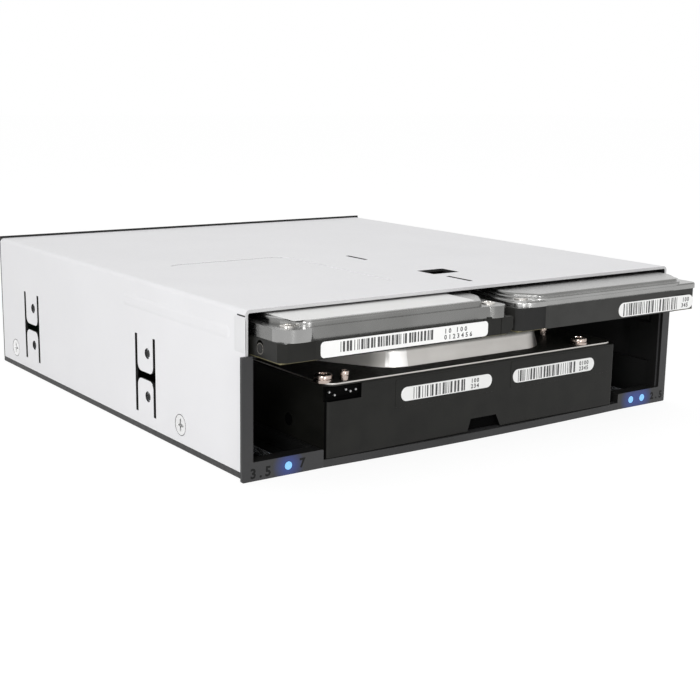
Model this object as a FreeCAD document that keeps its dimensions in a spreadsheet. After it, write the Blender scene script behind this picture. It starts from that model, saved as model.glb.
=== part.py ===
import FreeCAD, Part
import math
import os
import Sketcher
from FreeCAD import Rotation, Vector

# Hot swap cage for one large and two small drives, in a half-height bay.
# +X right, +Y to the rear, +Z up. Lengths are millimetres.
# The origin is on the underside, on the centre line, at the back of the bezel.

SIZES = [
    ("side_gap", 0.825, "small drive to the cover's side"),
    ("centre_gap", 1.125, "small drive to the centre divider"),
    ("shelf_air", 0.9, "large drive to the shelf above it"),
    ("top_gap", 0.6, "small drive to the cover above it"),
    ("cable_space", 6.3, "lower board to the rear wall"),
    ("cover_gauge", 0.8, "painted cover sheet"),
    ("base_gauge", 0.8, "base sheet"),
    ("bend_radius", 0.5, "inside radius of a sheet bend"),
    ("overrun", 1.0, "how far a cut runs past the faces it opens"),
    ("sheet_gap", 0.1, "gap between sheets that lie side by side"),
    ("base_hem", 1.5, "base edge that shows under the cover"),
    ("flange_height", 12.0, "top of the base's side flanges"),
    ("wall_rise", 0.6, "rear wall above the cover"),
    ("cover_lip", 3.0, "cover in front of the bezel's back"),
    ("hole_front", 47.4, "first side hole behind the bezel"),
    ("hole_pitch", 79.25, "side holes, front to rear"),
    ("hole_low", 10.0, "lower side hole above the underside"),
    ("hole_high", 21.84, "upper side hole above the underside"),
    ("hole_radius", 1.45, "tapped M3 mounting hole"),
    ("bottom_side", 3.15, "bottom holes from the cover's outside"),
    ("tongue_lead", 3.9, "side hole to the slot in front of it"),
    ("tongue_trail", 6.5, "side hole to the slot behind it"),
    ("slot_width", 1.3, "H-slot legs"),
    ("slot_low", 4.9, "lower end of the H-slots"),
    ("slot_high", 26.4, "upper end of the H-slots"),
    ("bar_low", 14.5, "underside of the H-slot's bar"),
    ("bar_high", 16.5, "top of the H-slot's bar"),
    ("bar_round", 2.1, "fillets beside the H-slot's bar"),
    ("screw_height", 6.4, "cover screws above the underside"),
    ("screw_front", 18.1, "front cover screws in front of the first side hole"),
    ("screw_back", 11.4, "rear cover screws from the outside of the rear wall"),
    ("relief_low", 8.2, "flange behind the H-slots, cut away above this"),
    ("screw_head", 2.85, "radius of a countersunk head"),
    ("screw_shank", 1.45, "radius of an M3 shank"),
    ("screw_reach", 5.0, "length of a cover screw"),
    ("nut_radius", 2.8, "clinch nut, across a corner"),
    ("nut_height", 1.8, "clinch nut, through its thread"),
    ("window_left", 1.4, "top window, left edge from the centre line"),
    ("window_width", 9.4, "top window across"),
    ("window_front", 19.0, "top window, front edge"),
    ("window_length", 7.7, "top window, front to rear"),
    ("panel_left", 55.0, "pressed panel, left edge from the centre line"),
    ("panel_right", 15.0, "pressed panel, right edge from the centre line"),
    ("panel_front", 14.0, "pressed panel, front edge"),
    ("panel_back", 71.3, "pressed panel, rear edge"),
    ("panel_round", 5.0, "pressed panel corners"),
    ("panel_sink", 0.2, "depth of the pressed panel"),
    ("bezel_depth", 4.0, "bezel, front to back"),
    ("bezel_overhang", 1.5, "bezel past the cover on each side"),
    ("post_width", 2.9, "bezel post"),
    ("block_height", 4.7, "bezel's bottom blocks"),
    ("block_gap", 3.2, "right block to the large drive"),
    ("lip_height", 2.0, "bezel lip under the large drive"),
    ("lip_bow", 1.2, "how far the lip bows forward"),
    ("bezel_round", 0.4, "rounding of the bezel's corners"),
    ("tray_nose", 1.5, "base that reaches under the bezel"),
    ("skirt_gauge", 1.2, "bezel skirt inside the cover"),
    ("skirt_reach", 8.0, "bezel skirt behind the bezel"),
    ("skirt_gap", 0.5, "bezel skirt to the shelf's turned-down side"),
    ("pipe_radius", 1.05, "light guide"),
    ("pipe_height", 2.3, "light guides above the underside"),
    ("pipe_lower", 0.75, "large drive's light guide from the middle of the left channel"),
    ("pipe_left", 2.55, "left drive's light guide from the middle of the right channel"),
    ("pipe_right", 2.25, "right drive's light guide from the middle of the right channel"),
    ("pipe_gap", 0.1, "clearance round a light guide"),
    ("clip_length", 4.0, "light guide saddle along the guide"),
    ("clip_wall", 0.9, "saddle beside the guide"),
    ("running_gap", 0.4, "drive to whatever it slides past"),
    ("floor_gap", 0.3, "drive above the rail or shelf bead that carries it"),
    ("rail_foot", 5.0, "rail under the large drive"),
    ("rail_wall", 2.0, "rail beside the large drive"),
    ("rail_top", 4.6, "top of the rail's wall"),
    ("rail_front", 1.0, "front end of the rails"),
    ("rail_short", 11.3, "rear end of the rails in front of the lower board"),
    ("peg_half", 1.4, "half width of a rail's square peg"),
    ("peg_inset", 14.0, "rail peg from the rail's end"),
    ("shelf_gauge", 1.0, "shelf sheet"),
    ("shelf_flange", 4.2, "shelf's turned-down sides"),
    ("shelf_front", 1.0, "shelf's front edge"),
    ("bead_width", 1.6, "raised bead under a small drive"),
    ("bead_inset", 5.0, "bead from the small drive's side"),
    ("bead_rise", 0.5, "bead above the shelf"),
    ("divider_gauge", 0.8, "divider sheet"),
    ("divider_front", 2.0, "divider's front edge"),
    ("divider_short", 4.2, "divider's rear edge in front of the seated drives' rear"),
    ("tab_offset", 2.6, "middle of the cover slots, right of the centre line"),
    ("tab_length", 9.6, "divider tab"),
    ("tab_first", 4.7, "front end of the first tab"),
    ("tab_second", 52.5, "front end of the second tab"),
    ("tab_gap", 0.3, "clearance round a tab"),
    ("tab_sink", 0.4, "upper tabs below the cover's top"),
    ("large_width", 101.6, "large drive, side to side"),
    ("large_length", 147.0, "large drive, front to rear"),
    ("large_height", 25.4, "large drive, underside to top"),
    ("large_proud", 0.5, "large drive's front past the bezel"),
    ("large_ledge", 18.0, "large drive's casting"),
    ("lid_gauge", 0.8, "large drive's lid sheet"),
    ("lid_rim", 0.4, "large drive's lid inside its casting's edge"),
    ("lid_corner", 3.0, "rounded front corners of the large drive's lid"),
    ("casting_corner", 1.0, "rounded upright edges of the large drive"),
    ("deck_rim", 3.6, "raised deck from the large drive's sides"),
    ("deck_nose", 23.5, "half width of the deck's nose"),
    ("deck_nose_inset", 5.5, "deck's nose behind the drive's front"),
    ("deck_cheek", 5.4, "sloping corner of the nose"),
    ("deck_neck", 32.7, "half width of the deck's neck"),
    ("deck_neck_inset", 24.0, "deck's neck behind the drive's front"),
    ("deck_wide_inset", 47.0, "full deck width behind the drive's front"),
    ("deck_back_inset", 9.0, "deck in front of the drive's rear"),
    ("deck_back_corner", 12.0, "sloping rear corner of the deck"),
    ("deck_round", 2.0, "rounding of the deck's top edge"),
    ("side_hole_rise", 6.35, "large drive's side holes above its underside"),
    ("side_hole_rear", 28.5, "large drive's rear side hole from its rear"),
    ("side_hole_span", 101.6, "large drive's outer side holes"),
    ("drive_hole_radius", 1.6, "drive mounting hole"),
    ("drive_hole_depth", 3.5, "drive mounting hole"),
    ("notch_left", 4.9, "front notch, left of the centre line"),
    ("notch_right", 6.9, "front notch, right of the centre line"),
    ("notch_ramp", 1.1, "sloping left end of the front notch"),
    ("notch_draft", 1.7, "sloping right end of the front notch"),
    ("notch_height", 3.4, "front notch"),
    ("notch_depth", 1.6, "front notch and corner recess"),
    ("corner_width", 10.5, "recess at the front left corner"),
    ("corner_height", 3.7, "recess at the front left corner"),
    ("board_gauge", 1.6, "circuit boards of the cage and the large drive"),
    ("large_board_rim", 6.8, "large drive's board from its sides"),
    ("large_board_lift", 0.6, "board above the drive's underside"),
    ("large_board_inset", 12.0, "board from the drive's ends"),
    ("small_width", 69.85, "small drive, side to side"),
    ("small_length", 100.2, "small drive, front to rear"),
    ("small_height", 9.5, "small drive, underside to top"),
    ("small_travel", 12.5, "how far the small drives stand out of their seats"),
    ("left_lid", 3.1, "left drive's lid below its shoulder"),
    ("right_lid", 1.6, "right drive's lid below its shoulder"),
    ("small_board_gauge", 0.8, "small drive's board"),
    ("small_board_inset", 0.4, "small drive's board from its edges"),
    ("small_corner", 1.6, "cut front corners of a small drive"),
    ("front_ear", 9.5, "ends of a small drive's front that stand back"),
    ("ear_inset", 0.7, "how far the ends of a small drive's front stand back"),
    ("tier_drop", 1.6, "lid's shoulder below the small drive's top"),
    ("tier_inset", 0.3, "lid's shoulder from the small drive's edges"),
    ("tier_slope", 1.0, "sloping edge of the shoulder"),
    ("crown_side", 3.3, "lid's crown from the small drive's sides"),
    ("crown_front", 3.8, "lid's crown from the small drive's front"),
    ("crown_corner", 8.0, "crown's cut corners"),
    ("crown_slope", 0.7, "sloping edge of the crown"),
    ("lid_back", 9.0, "lid in front of the small drive's rear"),
    ("small_hole_rise", 3.0, "small drive's side holes above its underside"),
    ("small_hole_rear", 14.0, "small drive's rear side hole from its rear"),
    ("small_hole_span", 76.6, "small drive's side holes"),
    ("lid_screw_radius", 1.9, "lid screw head"),
    ("lid_screw_rise", 2.3, "lid screw head above the large drive's lid"),
    ("small_screw_rise", 0.5, "lid screw head above the small drive's shoulder"),
    ("lid_screw_inset", 4.3, "lid screw from the drive's edges"),
    ("plug_rise", 3.5, "plug's tongue above the drive's underside"),
    ("large_plug_side", 9.62, "plug's spine to the large drive's right side"),
    ("small_plug_side", 0.995, "plug's spine to the small drive's right side"),
    ("plug_half", 20.5, "half width of the plug's spine"),
    ("plug_spine", 2.0, "thickness of the plug's spine"),
    ("plug_height", 4.4, "height of the plug's spine"),
    ("tongue_half", 16.7, "half width over both tongues"),
    ("tongue_gauge", 1.2, "thickness of a tongue"),
    ("tongue_length", 6.2, "tongue behind the spine"),
    ("tongue_split", 3.9, "right end of the power tongue"),
    ("tongue_space", 2.4, "gap between the tongues"),
    ("tongue_key", 1.1, "drop of the key at a tongue's end"),
    ("mate_gap", 0.4, "clearance between a plug and its socket"),
    ("socket_wall", 1.3, "socket outside its cavities"),
    ("socket_reach", 5.6, "how far a socket reaches into a seated drive"),
    ("socket_body", 8.4, "socket, front face to board"),
    ("tongue_short", 0.3, "tongue's end inside the drive's rear"),
    ("recess_depth", 8.5, "connector recess in a drive's rear"),
    ("large_recess", 7.0, "height of the large drive's connector recess"),
    ("small_recess", 6.5, "height of the small drive's connector recess"),
    ("board_side", 3.3, "lower board to the base's side flange"),
    ("lower_board_low", 1.3, "lower edge of the lower board"),
    ("lower_board_drop", 1.6, "upper edge of the lower board below the shelf"),
    ("upper_board_side", 5.3, "upper board from the base's side flange"),
    ("upper_board_gap", 0.2, "upper board above the sockets"),
    ("upper_board_back", 3.5, "upper board in front of the rear wall"),
    ("standoff_radius", 2.6, "standoff"),
    ("standoff_side", 8.0, "standoffs from the lower board's ends"),
    ("standoff_inset", 7.0, "standoffs from the upper board's front and back"),
    ("standoff_rise", 17.5, "standoffs behind the lower board, above the underside"),
    ("air_low", 12.0, "air windows in the lower board, above the underside"),
    ("air_high", 4.0, "air windows below the lower board's edge"),
    ("air_width", 17.0, "air windows in the lower board"),
    ("board_screw_radius", 2.4, "board screw head"),
    ("board_screw_rise", 1.4, "board screw head"),
    ("port_wall", 1.0, "cable port shroud"),
    ("port_height", 5.6, "cable port"),
    ("data_port_width", 14.4, "data port"),
    ("power_port_width", 25.0, "power port"),
    ("port_proud", 0.8, "cable ports behind the rear wall"),
    ("upper_port_length", 10.5, "upper data ports, in front of the wall's outside"),
    ("port_blade", 1.2, "tongue inside a port"),
    ("port_floor", 2.5, "closed end of a port"),
    ("port_gap", 0.3, "rear wall round a port"),
    ("lower_data_place", 38.0, "lower data port, right of the centre line"),
    ("lower_power_place", 8.0, "power port, right of the centre line"),
    ("lower_port_height", 6.0, "middle of the lower ports"),
    ("upper_data_place", 34.0, "upper data ports from the centre line"),
    ("vent_width", 3.0, "vent slot"),
    ("vent_low", 2.2, "rear vents above the lower ports"),
    ("vent_high", 3.6, "rear vents below the shelf"),
    ("vent_pitch", 6.0, "vent to vent"),
    ("link_half", 9.0, "half width of the board link"),
    ("link_gauge", 2.6, "thickness of the board link"),
    ("lamp_size", 1.6, "lamp on the lower board"),
    ("lamp_rise", 0.8, "lamp in front of the board"),
]


VENT_COUNT = 18


class Dim:
    """A length: its number, and the sheet formula that gives it."""

    def __init__(self, number, formula):
        self.number = number
        self.formula = formula

    def __add__(self, other):
        other = dim(other)
        return Dim(self.number + other.number, f"({self.formula} + {other.formula})")

    def __sub__(self, other):
        other = dim(other)
        return Dim(self.number - other.number, f"({self.formula} - {other.formula})")

    def __mul__(self, factor):
        return Dim(self.number * factor, f"({self.formula} * {factor})")

    def __truediv__(self, factor):
        return Dim(self.number / factor, f"({self.formula} / {factor})")

    def __neg__(self):
        return self * -1


def dim(value):
    """Take a plain number as a length of its own."""
    return value if isinstance(value, Dim) else Dim(float(value), str(float(value)))


class SizeSheet:
    """The spreadsheet of driving sizes, each one readable as an attribute."""

    def __init__(self, rows):
        table = doc.addObject("Spreadsheet::Sheet", "Sizes")
        for row, (alias, number, note) in enumerate(rows, start=1):
            table.set(f"A{row}", alias)
            table.set(f"B{row}", str(number))
            table.set(f"C{row}", note)
            table.setAlias(f"B{row}", alias)
            setattr(self, alias, Dim(number, f"Sizes.{alias}"))


doc = FreeCAD.newDocument("DriveCage")
s = SizeSheet(SIZES)
doc.recompute()
zero = dim(0)
nodes = []


def bind(item, path, length):
    """Tie one property of an object to its sheet formula."""
    item.setExpression(path, length.formula)


# ---------------------------------------------------------------- sketches

def hold(sketch, geometry, point, u, v, rules):
    """Hold one point of a sketch at (u, v) from the sketch's origin."""
    rules.append((Sketcher.Constraint("DistanceX", -1, 1, geometry, point, u.number), u))
    rules.append((Sketcher.Constraint("DistanceY", -1, 1, geometry, point, v.number), v))


def apply_rules(sketch, rules):
    """Add the constraints, and tie each one that has a length to the sheet."""
    indices = sketch.addConstraint([constraint for constraint, length in rules])
    for index, (constraint, length) in zip(indices, rules):
        if length is not None:
            bind(sketch, f"Constraints[{index}]", length)


def flat(point):
    """A point of a sketch as a vector."""
    return Vector(point[0].number, point[1].number, 0)


def angle_from(centre, point):
    """The direction from a centre to a point, in radians."""
    offset = flat(point) - flat(centre)
    return math.atan2(offset.y, offset.x)


def cross(first, middle, last):
    """Which way a path turns about its middle point: below zero is clockwise."""
    return (flat(middle) - flat(first)).cross(flat(last) - flat(middle)).z


def loop(*corners):
    """A closed outline. A corner is (u, v), or (u, v, radius) at a right angle."""

    def heading(start, end):
        across = end[0].number - start[0].number
        along = end[1].number - start[1].number
        if abs(across) > abs(along):
            return (1 if across > 0 else -1, 0)
        return (0, 1 if along > 0 else -1)

    def draw(sketch):
        points = []
        count = len(corners)
        for index, corner in enumerate(corners):
            if len(corner) == 2:
                points.append((corner, corner, None, None))
                continue
            u, v, radius = corner
            before = heading(corners[index - 1], corner)
            after = heading(corner, corners[(index + 1) % count])
            enter = (u - radius * before[0], v - radius * before[1])
            leave = (u + radius * after[0], v + radius * after[1])
            centre = (enter[0] + radius * after[0], enter[1] + radius * after[1])
            points.append((enter, leave, centre, radius))
        rules = []
        ends = []
        for enter, leave, centre, radius in points:
            if centre is None:
                continue
            left_turn = cross(enter, centre, leave) < 0
            first, last = (enter, leave) if left_turn else (leave, enter)
            start = angle_from(centre, first)
            ring = Part.Circle(flat(centre), Vector(0, 0, 1), radius.number)
            index = sketch.addGeometry(Part.ArcOfCircle(ring, start, start + math.pi / 2), False)
            ends.append((index, 1, 2) if left_turn else (index, 2, 1))
            hold(sketch, index, 1, first[0], first[1], rules)
            hold(sketch, index, 2, last[0], last[1], rules)
            rules.append((Sketcher.Constraint("Radius", index, radius.number), radius))
        arcs = iter(ends)
        joints = [next(arcs) if point[2] is not None else None for point in points]
        lines = []
        for index, point in enumerate(points):
            following = points[(index + 1) % count]
            line = Part.LineSegment(flat(point[1]), flat(following[0]))
            lines.append(sketch.addGeometry(line, False))
        for index, point in enumerate(points):
            line, previous = lines[index], lines[index - 1]
            if joints[index] is None:
                rules.append((Sketcher.Constraint("Coincident", previous, 2, line, 1), None))
                hold(sketch, line, 1, point[0][0], point[0][1], rules)
            else:
                arc, first, last = joints[index]
                rules.append((Sketcher.Constraint("Coincident", previous, 2, arc, first), None))
                rules.append((Sketcher.Constraint("Coincident", arc, last, line, 1), None))
        apply_rules(sketch, rules)

    return draw


def rectangle(u0, u1, v0, v1, radius=None):
    """A closed rectangle, with rounded corners if it has a radius."""
    corners = [(u0, v0), (u1, v0), (u1, v1), (u0, v1)]
    if radius is not None:
        corners = [(u, v, radius) for u, v in corners]
    return loop(*corners)


def circle(u, v, radius):
    """A full circle."""

    def draw(sketch):
        middle = Vector(u.number, v.number, 0)
        ring = Part.Circle(middle, Vector(0, 0, 1), radius.number)
        index = sketch.addGeometry(ring, False)
        rules = [(Sketcher.Constraint("Radius", index, radius.number), radius)]
        hold(sketch, index, 3, u, v, rules)
        apply_rules(sketch, rules)

    return draw


# ---------------------------------------------------------------- bodies

def new_body(name):
    """An empty body that becomes the node of that name."""
    body = doc.addObject("PartDesign::Body", name)
    body.Label = name
    nodes.append(body)
    return body


def origin_part(body, role):
    """One of the body's own origin planes or axes."""
    return next(item for item in body.Origin.OriginFeatures if item.Role == role)


def new_sketch(body, plane, level, shapes):
    """A sketch on an origin plane, moved along the plane's axis to level."""
    sketch = body.newObject("Sketcher::SketchObject", f"{body.Name}_sketch")
    sketch.AttachmentSupport = (origin_part(body, f"{plane}_Plane"), [""])
    sketch.MapMode = "FlatFace"
    bind(sketch, "AttachmentOffset.Base.z", -level if plane == "XZ" else level)
    for draw in shapes:
        draw(sketch)
    return sketch


volumes = {}


def finish(body, feature, grows):
    """Recompute, and make sure that the feature added or removed material."""
    doc.recompute()
    volume = body.Shape.Volume
    change = volume - volumes.get(body.Name, 0)
    if (change <= 0) if grows else (change >= 0):
        raise RuntimeError(f"{feature.Name} in {body.Label} changed nothing")
    volumes[body.Name] = volume
    return feature


def pad(body, plane, start, end, *shapes):
    """Fill the shapes from start to end along the plane's axis."""
    sketch = new_sketch(body, plane, start, shapes)
    feature = body.newObject("PartDesign::Pad", f"{body.Name}_pad")
    feature.Profile = sketch
    feature.Reversed = plane == "XZ"
    bind(feature, "Length", end - start)
    return finish(body, feature, True)


def pocket(body, plane, start, end, *shapes):
    """Cut the shapes from start to end along the plane's axis."""
    sketch = new_sketch(body, plane, start, shapes)
    feature = body.newObject("PartDesign::Pocket", f"{body.Name}_pocket")
    feature.Profile = sketch
    feature.Reversed = plane != "XZ"
    bind(feature, "Length", end - start)
    return finish(body, feature, False)


def mirrored(body, *features):
    """Repeat the features on the other side of the centre line."""
    feature = body.newObject("PartDesign::Mirrored", f"{body.Name}_mirrored")
    feature.Originals = list(features)
    feature.MirrorPlane = (origin_part(body, "YZ_Plane"), [""])
    body.Tip = feature
    grows = features[0].TypeId == "PartDesign::Pad"
    return finish(body, feature, grows)


def row_of(body, feature, axis, pitch, count):
    """Repeat a feature in a row along an axis."""
    pattern = body.newObject("PartDesign::LinearPattern", f"{body.Name}_row")
    pattern.Originals = [feature]
    pattern.Direction = (origin_part(body, f"{axis}_Axis"), [""])
    pattern.Occurrences = count
    bind(pattern, "Length", pitch * (count - 1))
    body.Tip = pattern
    return finish(body, pattern, feature.TypeId == "PartDesign::Pad")


def dress(body, kind, size, choose):
    """Fillet or chamfer the edges that the choice keeps."""
    base = body.Tip
    names = [f"Edge{index}" for index, edge in enumerate(base.Shape.Edges, start=1) if choose(edge)]
    feature = body.newObject(f"PartDesign::{kind}", f"{body.Name}_{kind.lower()}")
    feature.Base = (base, names)
    bind(feature, "Radius" if kind == "Fillet" else "Size", size)
    return finish(body, feature, False)


def level_edge(height, inside=None):
    """Choose edges that lie level at a height, inside a box if one is given."""

    def choose(edge):
        box = edge.BoundBox
        flat = abs(box.ZMin - height.number) < 1e-4 and abs(box.ZMax - height.number) < 1e-4
        return flat and (inside is None or inside(box))

    return choose


# ---------------------------------------------------------------- primitives

TURNS = {
    "X": Rotation(Vector(0, 1, 0), 90),
    "Y": Rotation(Vector(1, 0, 0), -90),
    "Z": Rotation(),
}


def place(item, x, y, z):
    """Tie an object's position to the sheet."""
    bind(item, "Placement.Base.x", x)
    bind(item, "Placement.Base.y", y)
    bind(item, "Placement.Base.z", z)


def box(x0, x1, y0, y1, z0, z1):
    """A block between six faces."""
    block = doc.addObject("Part::Box", "block")
    bind(block, "Length", x1 - x0)
    bind(block, "Width", y1 - y0)
    bind(block, "Height", z1 - z0)
    place(block, x0, y0, z0)
    return block


def rod(axis, x, y, z, radius, length):
    """A round bar that starts at (x, y, z) and runs along an axis."""
    bar = doc.addObject("Part::Cylinder", "rod")
    bind(bar, "Radius", radius)
    bind(bar, "Height", length)
    bar.Placement.Rotation = TURNS[axis]
    place(bar, x, y, z)
    return bar


def cone(axis, x, y, z, start_radius, end_radius, length):
    """A tapered round bar that starts at (x, y, z) and runs along an axis."""
    bar = doc.addObject("Part::Cone", "cone")
    bind(bar, "Radius1", start_radius)
    bind(bar, "Radius2", end_radius)
    bind(bar, "Height", length)
    bar.Placement.Rotation = TURNS[axis]
    place(bar, x, y, z)
    return bar


def hexagon(axis, x, y, z, radius, length):
    """A hexagonal bar that starts at (x, y, z) and runs along an axis."""
    bar = doc.addObject("Part::Prism", "hexagon")
    bar.Polygon = 6
    bind(bar, "Circumradius", radius)
    bind(bar, "Height", length)
    bar.Placement.Rotation = TURNS[axis]
    place(bar, x, y, z)
    return bar


def fused(*items):
    """Several overlapping or touching solids as one."""
    joined = doc.addObject("Part::MultiFuse", "joined")
    joined.Shapes = list(items)
    joined.Refine = True
    return joined


def cut(base, *tools):
    """A solid with others taken away from it."""
    result = doc.addObject("Part::Cut", "trimmed")
    result.Base = base
    result.Tool = tools[0] if len(tools) == 1 else fused(*tools)
    result.Refine = True
    return result


def grouped(*items):
    """Separate solids that share one node."""
    group = doc.addObject("Part::Compound", "group")
    group.Links = list(items)
    return group


def node(name, item):
    """Give a finished item its node name."""
    item.Label = name
    nodes.append(item)
    return item


# ---------------------------------------------------------------- shared places

small_half = s.small_width / 2
small_plug = small_half - s.plug_half - s.small_plug_side
small_centre = s.divider_gauge / 2 + s.centre_gap + small_half
inner_half = small_centre + small_half + s.side_gap
half_width = inner_half + s.cover_gauge
flange_out = inner_half - s.sheet_gap
flange_in = flange_out - s.base_gauge

large_half = s.large_width / 2
large_plug = large_half - s.plug_half - s.large_plug_side
large_bottom = s.lip_height + s.floor_gap
large_top = large_bottom + s.large_height
ledge = large_bottom + s.large_ledge
shelf_low = large_top + s.shelf_air
shelf_top = shelf_low + s.shelf_gauge
small_bottom = shelf_top + s.bead_rise + s.floor_gap
small_top = small_bottom + s.small_height
ceiling = small_top + s.top_gap
cage_top = ceiling + s.cover_gauge
cover_low = s.base_hem + s.sheet_gap

bezel_front = -s.bezel_depth
large_front = bezel_front - s.large_proud
large_back = large_front + s.large_length
small_front = bezel_front - s.small_travel
small_back = small_front + s.small_length
small_seat = small_back + s.small_travel
lower_socket_front = large_back - s.socket_reach
upper_socket_front = small_seat - s.socket_reach
lower_board_front = lower_socket_front + s.socket_body
lower_board_back = lower_board_front + s.board_gauge
wall_front = lower_board_back + s.cable_space
wall_back = wall_front + s.base_gauge
cover_back = wall_front - s.sheet_gap
rail_back = lower_board_front - s.rail_short
rail_side = large_half + s.running_gap

socket_half_height = s.tongue_gauge / 2 + s.mate_gap + s.socket_wall
upper_plug_height = small_bottom + s.plug_rise
upper_board_low = upper_plug_height + socket_half_height + s.upper_board_gap
upper_board_high = upper_board_low + s.board_gauge
upper_board_front = upper_socket_front + s.tongue_length
upper_board_end = wall_front - s.upper_board_back
board_half = flange_in - s.board_side
lower_board_high = shelf_low - s.lower_board_drop

hole_back = s.hole_front + s.hole_pitch
hole_places = (s.hole_front, hole_back)
screw_places = (s.hole_front - s.screw_front, wall_back - s.screw_back)


# ---------------------------------------------------------------- cage sheet metal

def build_cover_shell():
    """White cover: a U of sheet with H-slots, side holes and top openings."""
    body = new_body("cover_shell")
    outer = s.cover_gauge + s.bend_radius
    pad(body, "XZ", -s.cover_lip, cover_back, loop(
        (-half_width, cover_low),
        (-half_width, cage_top, outer),
        (half_width, cage_top, outer),
        (half_width, cover_low),
        (inner_half, cover_low),
        (inner_half, ceiling, s.bend_radius),
        (-inner_half, ceiling, s.bend_radius),
        (-inner_half, cover_low)))
    side_cuts = []
    for hole_y in hole_places:
        lead = hole_y - s.tongue_lead
        trail = hole_y + s.tongue_trail
        half_slot = s.slot_width / 2
        side_cuts.append(pocket(body, "YZ", -half_width, -inner_half, loop(
            (lead - half_slot, s.slot_low),
            (lead + half_slot, s.slot_low),
            (lead + half_slot, s.bar_low, s.bar_round),
            (trail - half_slot, s.bar_low, s.bar_round),
            (trail - half_slot, s.slot_low),
            (trail + half_slot, s.slot_low),
            (trail + half_slot, s.slot_high),
            (trail - half_slot, s.slot_high),
            (trail - half_slot, s.bar_high, s.bar_round),
            (lead + half_slot, s.bar_high, s.bar_round),
            (lead + half_slot, s.slot_high),
            (lead - half_slot, s.slot_high))))
        side_cuts.append(pocket(body, "YZ", -half_width, -inner_half,
                                circle(hole_y, s.hole_low, s.hole_radius),
                                circle(hole_y, s.hole_high, s.hole_radius)))
    for screw_y in screw_places:
        side_cuts.append(pocket(body, "YZ", -half_width, -inner_half,
                                circle(screw_y, s.screw_height, s.screw_head)))
    mirrored(body, *side_cuts)
    slot_low_x = s.tab_offset - s.divider_gauge / 2 - s.tab_gap
    slot_high_x = s.tab_offset + s.divider_gauge / 2 + s.tab_gap
    pocket(body, "XY", ceiling - s.overrun, cage_top,
           *[rectangle(slot_low_x, slot_high_x, first - s.tab_gap,
                       first + s.tab_length + s.tab_gap)
             for first in (s.tab_first, s.tab_second)],
           rectangle(s.window_left, s.window_left + s.window_width,
                     s.window_front, s.window_front + s.window_length))
    pocket(body, "XY", cage_top - s.panel_sink, cage_top,
           rectangle(-s.panel_left, -s.panel_right, s.panel_front, s.panel_back,
                     s.panel_round))


def build_base_tray():
    """Black base: floor with side flanges, and a rear wall with ports and vents."""
    body = new_body("base_tray")
    edge = half_width - s.sheet_gap
    pad(body, "XZ", zero, wall_front, loop(
        (-edge, zero),
        (edge, zero),
        (edge, s.base_hem),
        (flange_out, s.base_hem),
        (flange_out, s.flange_height),
        (flange_in, s.flange_height),
        (flange_in, s.base_gauge, s.bend_radius),
        (-flange_in, s.base_gauge, s.bend_radius),
        (-flange_in, s.flange_height),
        (-flange_out, s.flange_height),
        (-flange_out, s.base_hem),
        (-edge, s.base_hem)))
    pad(body, "XY", zero, s.base_gauge,
        rectangle(-flange_in, flange_in, -s.tray_nose, s.base_gauge))
    pad(body, "XY", zero, s.base_hem,
        rectangle(-edge, -flange_out, -s.cover_lip, s.base_gauge),
        rectangle(flange_out, edge, -s.cover_lip, s.base_gauge))
    pad(body, "XZ", wall_front, wall_back,
        rectangle(-edge, edge, zero, cage_top + s.wall_rise))
    pocket(body, "YZ", -half_width, half_width,
           *[rectangle(hole_y - s.tongue_lead - s.slot_width,
                       hole_y + s.tongue_trail + s.slot_width,
                       s.relief_low, s.flange_height + s.overrun)
             for hole_y in hole_places])
    pocket(body, "YZ", -half_width, half_width,
           *[circle(screw_y, s.screw_height, s.screw_shank) for screw_y in screw_places])
    bottom_half = half_width - s.bottom_side
    holes = pocket(body, "XY", zero, s.base_gauge,
                   *[circle(bottom_half, hole_y, s.hole_radius) for hole_y in hole_places],
                   *pegs(1))
    mirrored(body, holes)
    ports = [rectangle(x - width / 2 - s.port_gap, x + width / 2 + s.port_gap,
                       z - s.port_height / 2 - s.port_gap, z + s.port_height / 2 + s.port_gap)
             for name, x, z, width in port_list()]
    pocket(body, "XZ", wall_front, wall_back, *ports)
    vent_low = s.lower_port_height + s.port_height / 2 + s.vent_low
    first_vent = -(s.vent_pitch * (VENT_COUNT - 1) + s.vent_width) / 2
    vent = pocket(body, "XZ", wall_front, wall_back,
                  rectangle(first_vent, first_vent + s.vent_width,
                            vent_low, shelf_low - s.vent_high))
    row_of(body, vent, "X", s.vent_pitch, VENT_COUNT)


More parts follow.
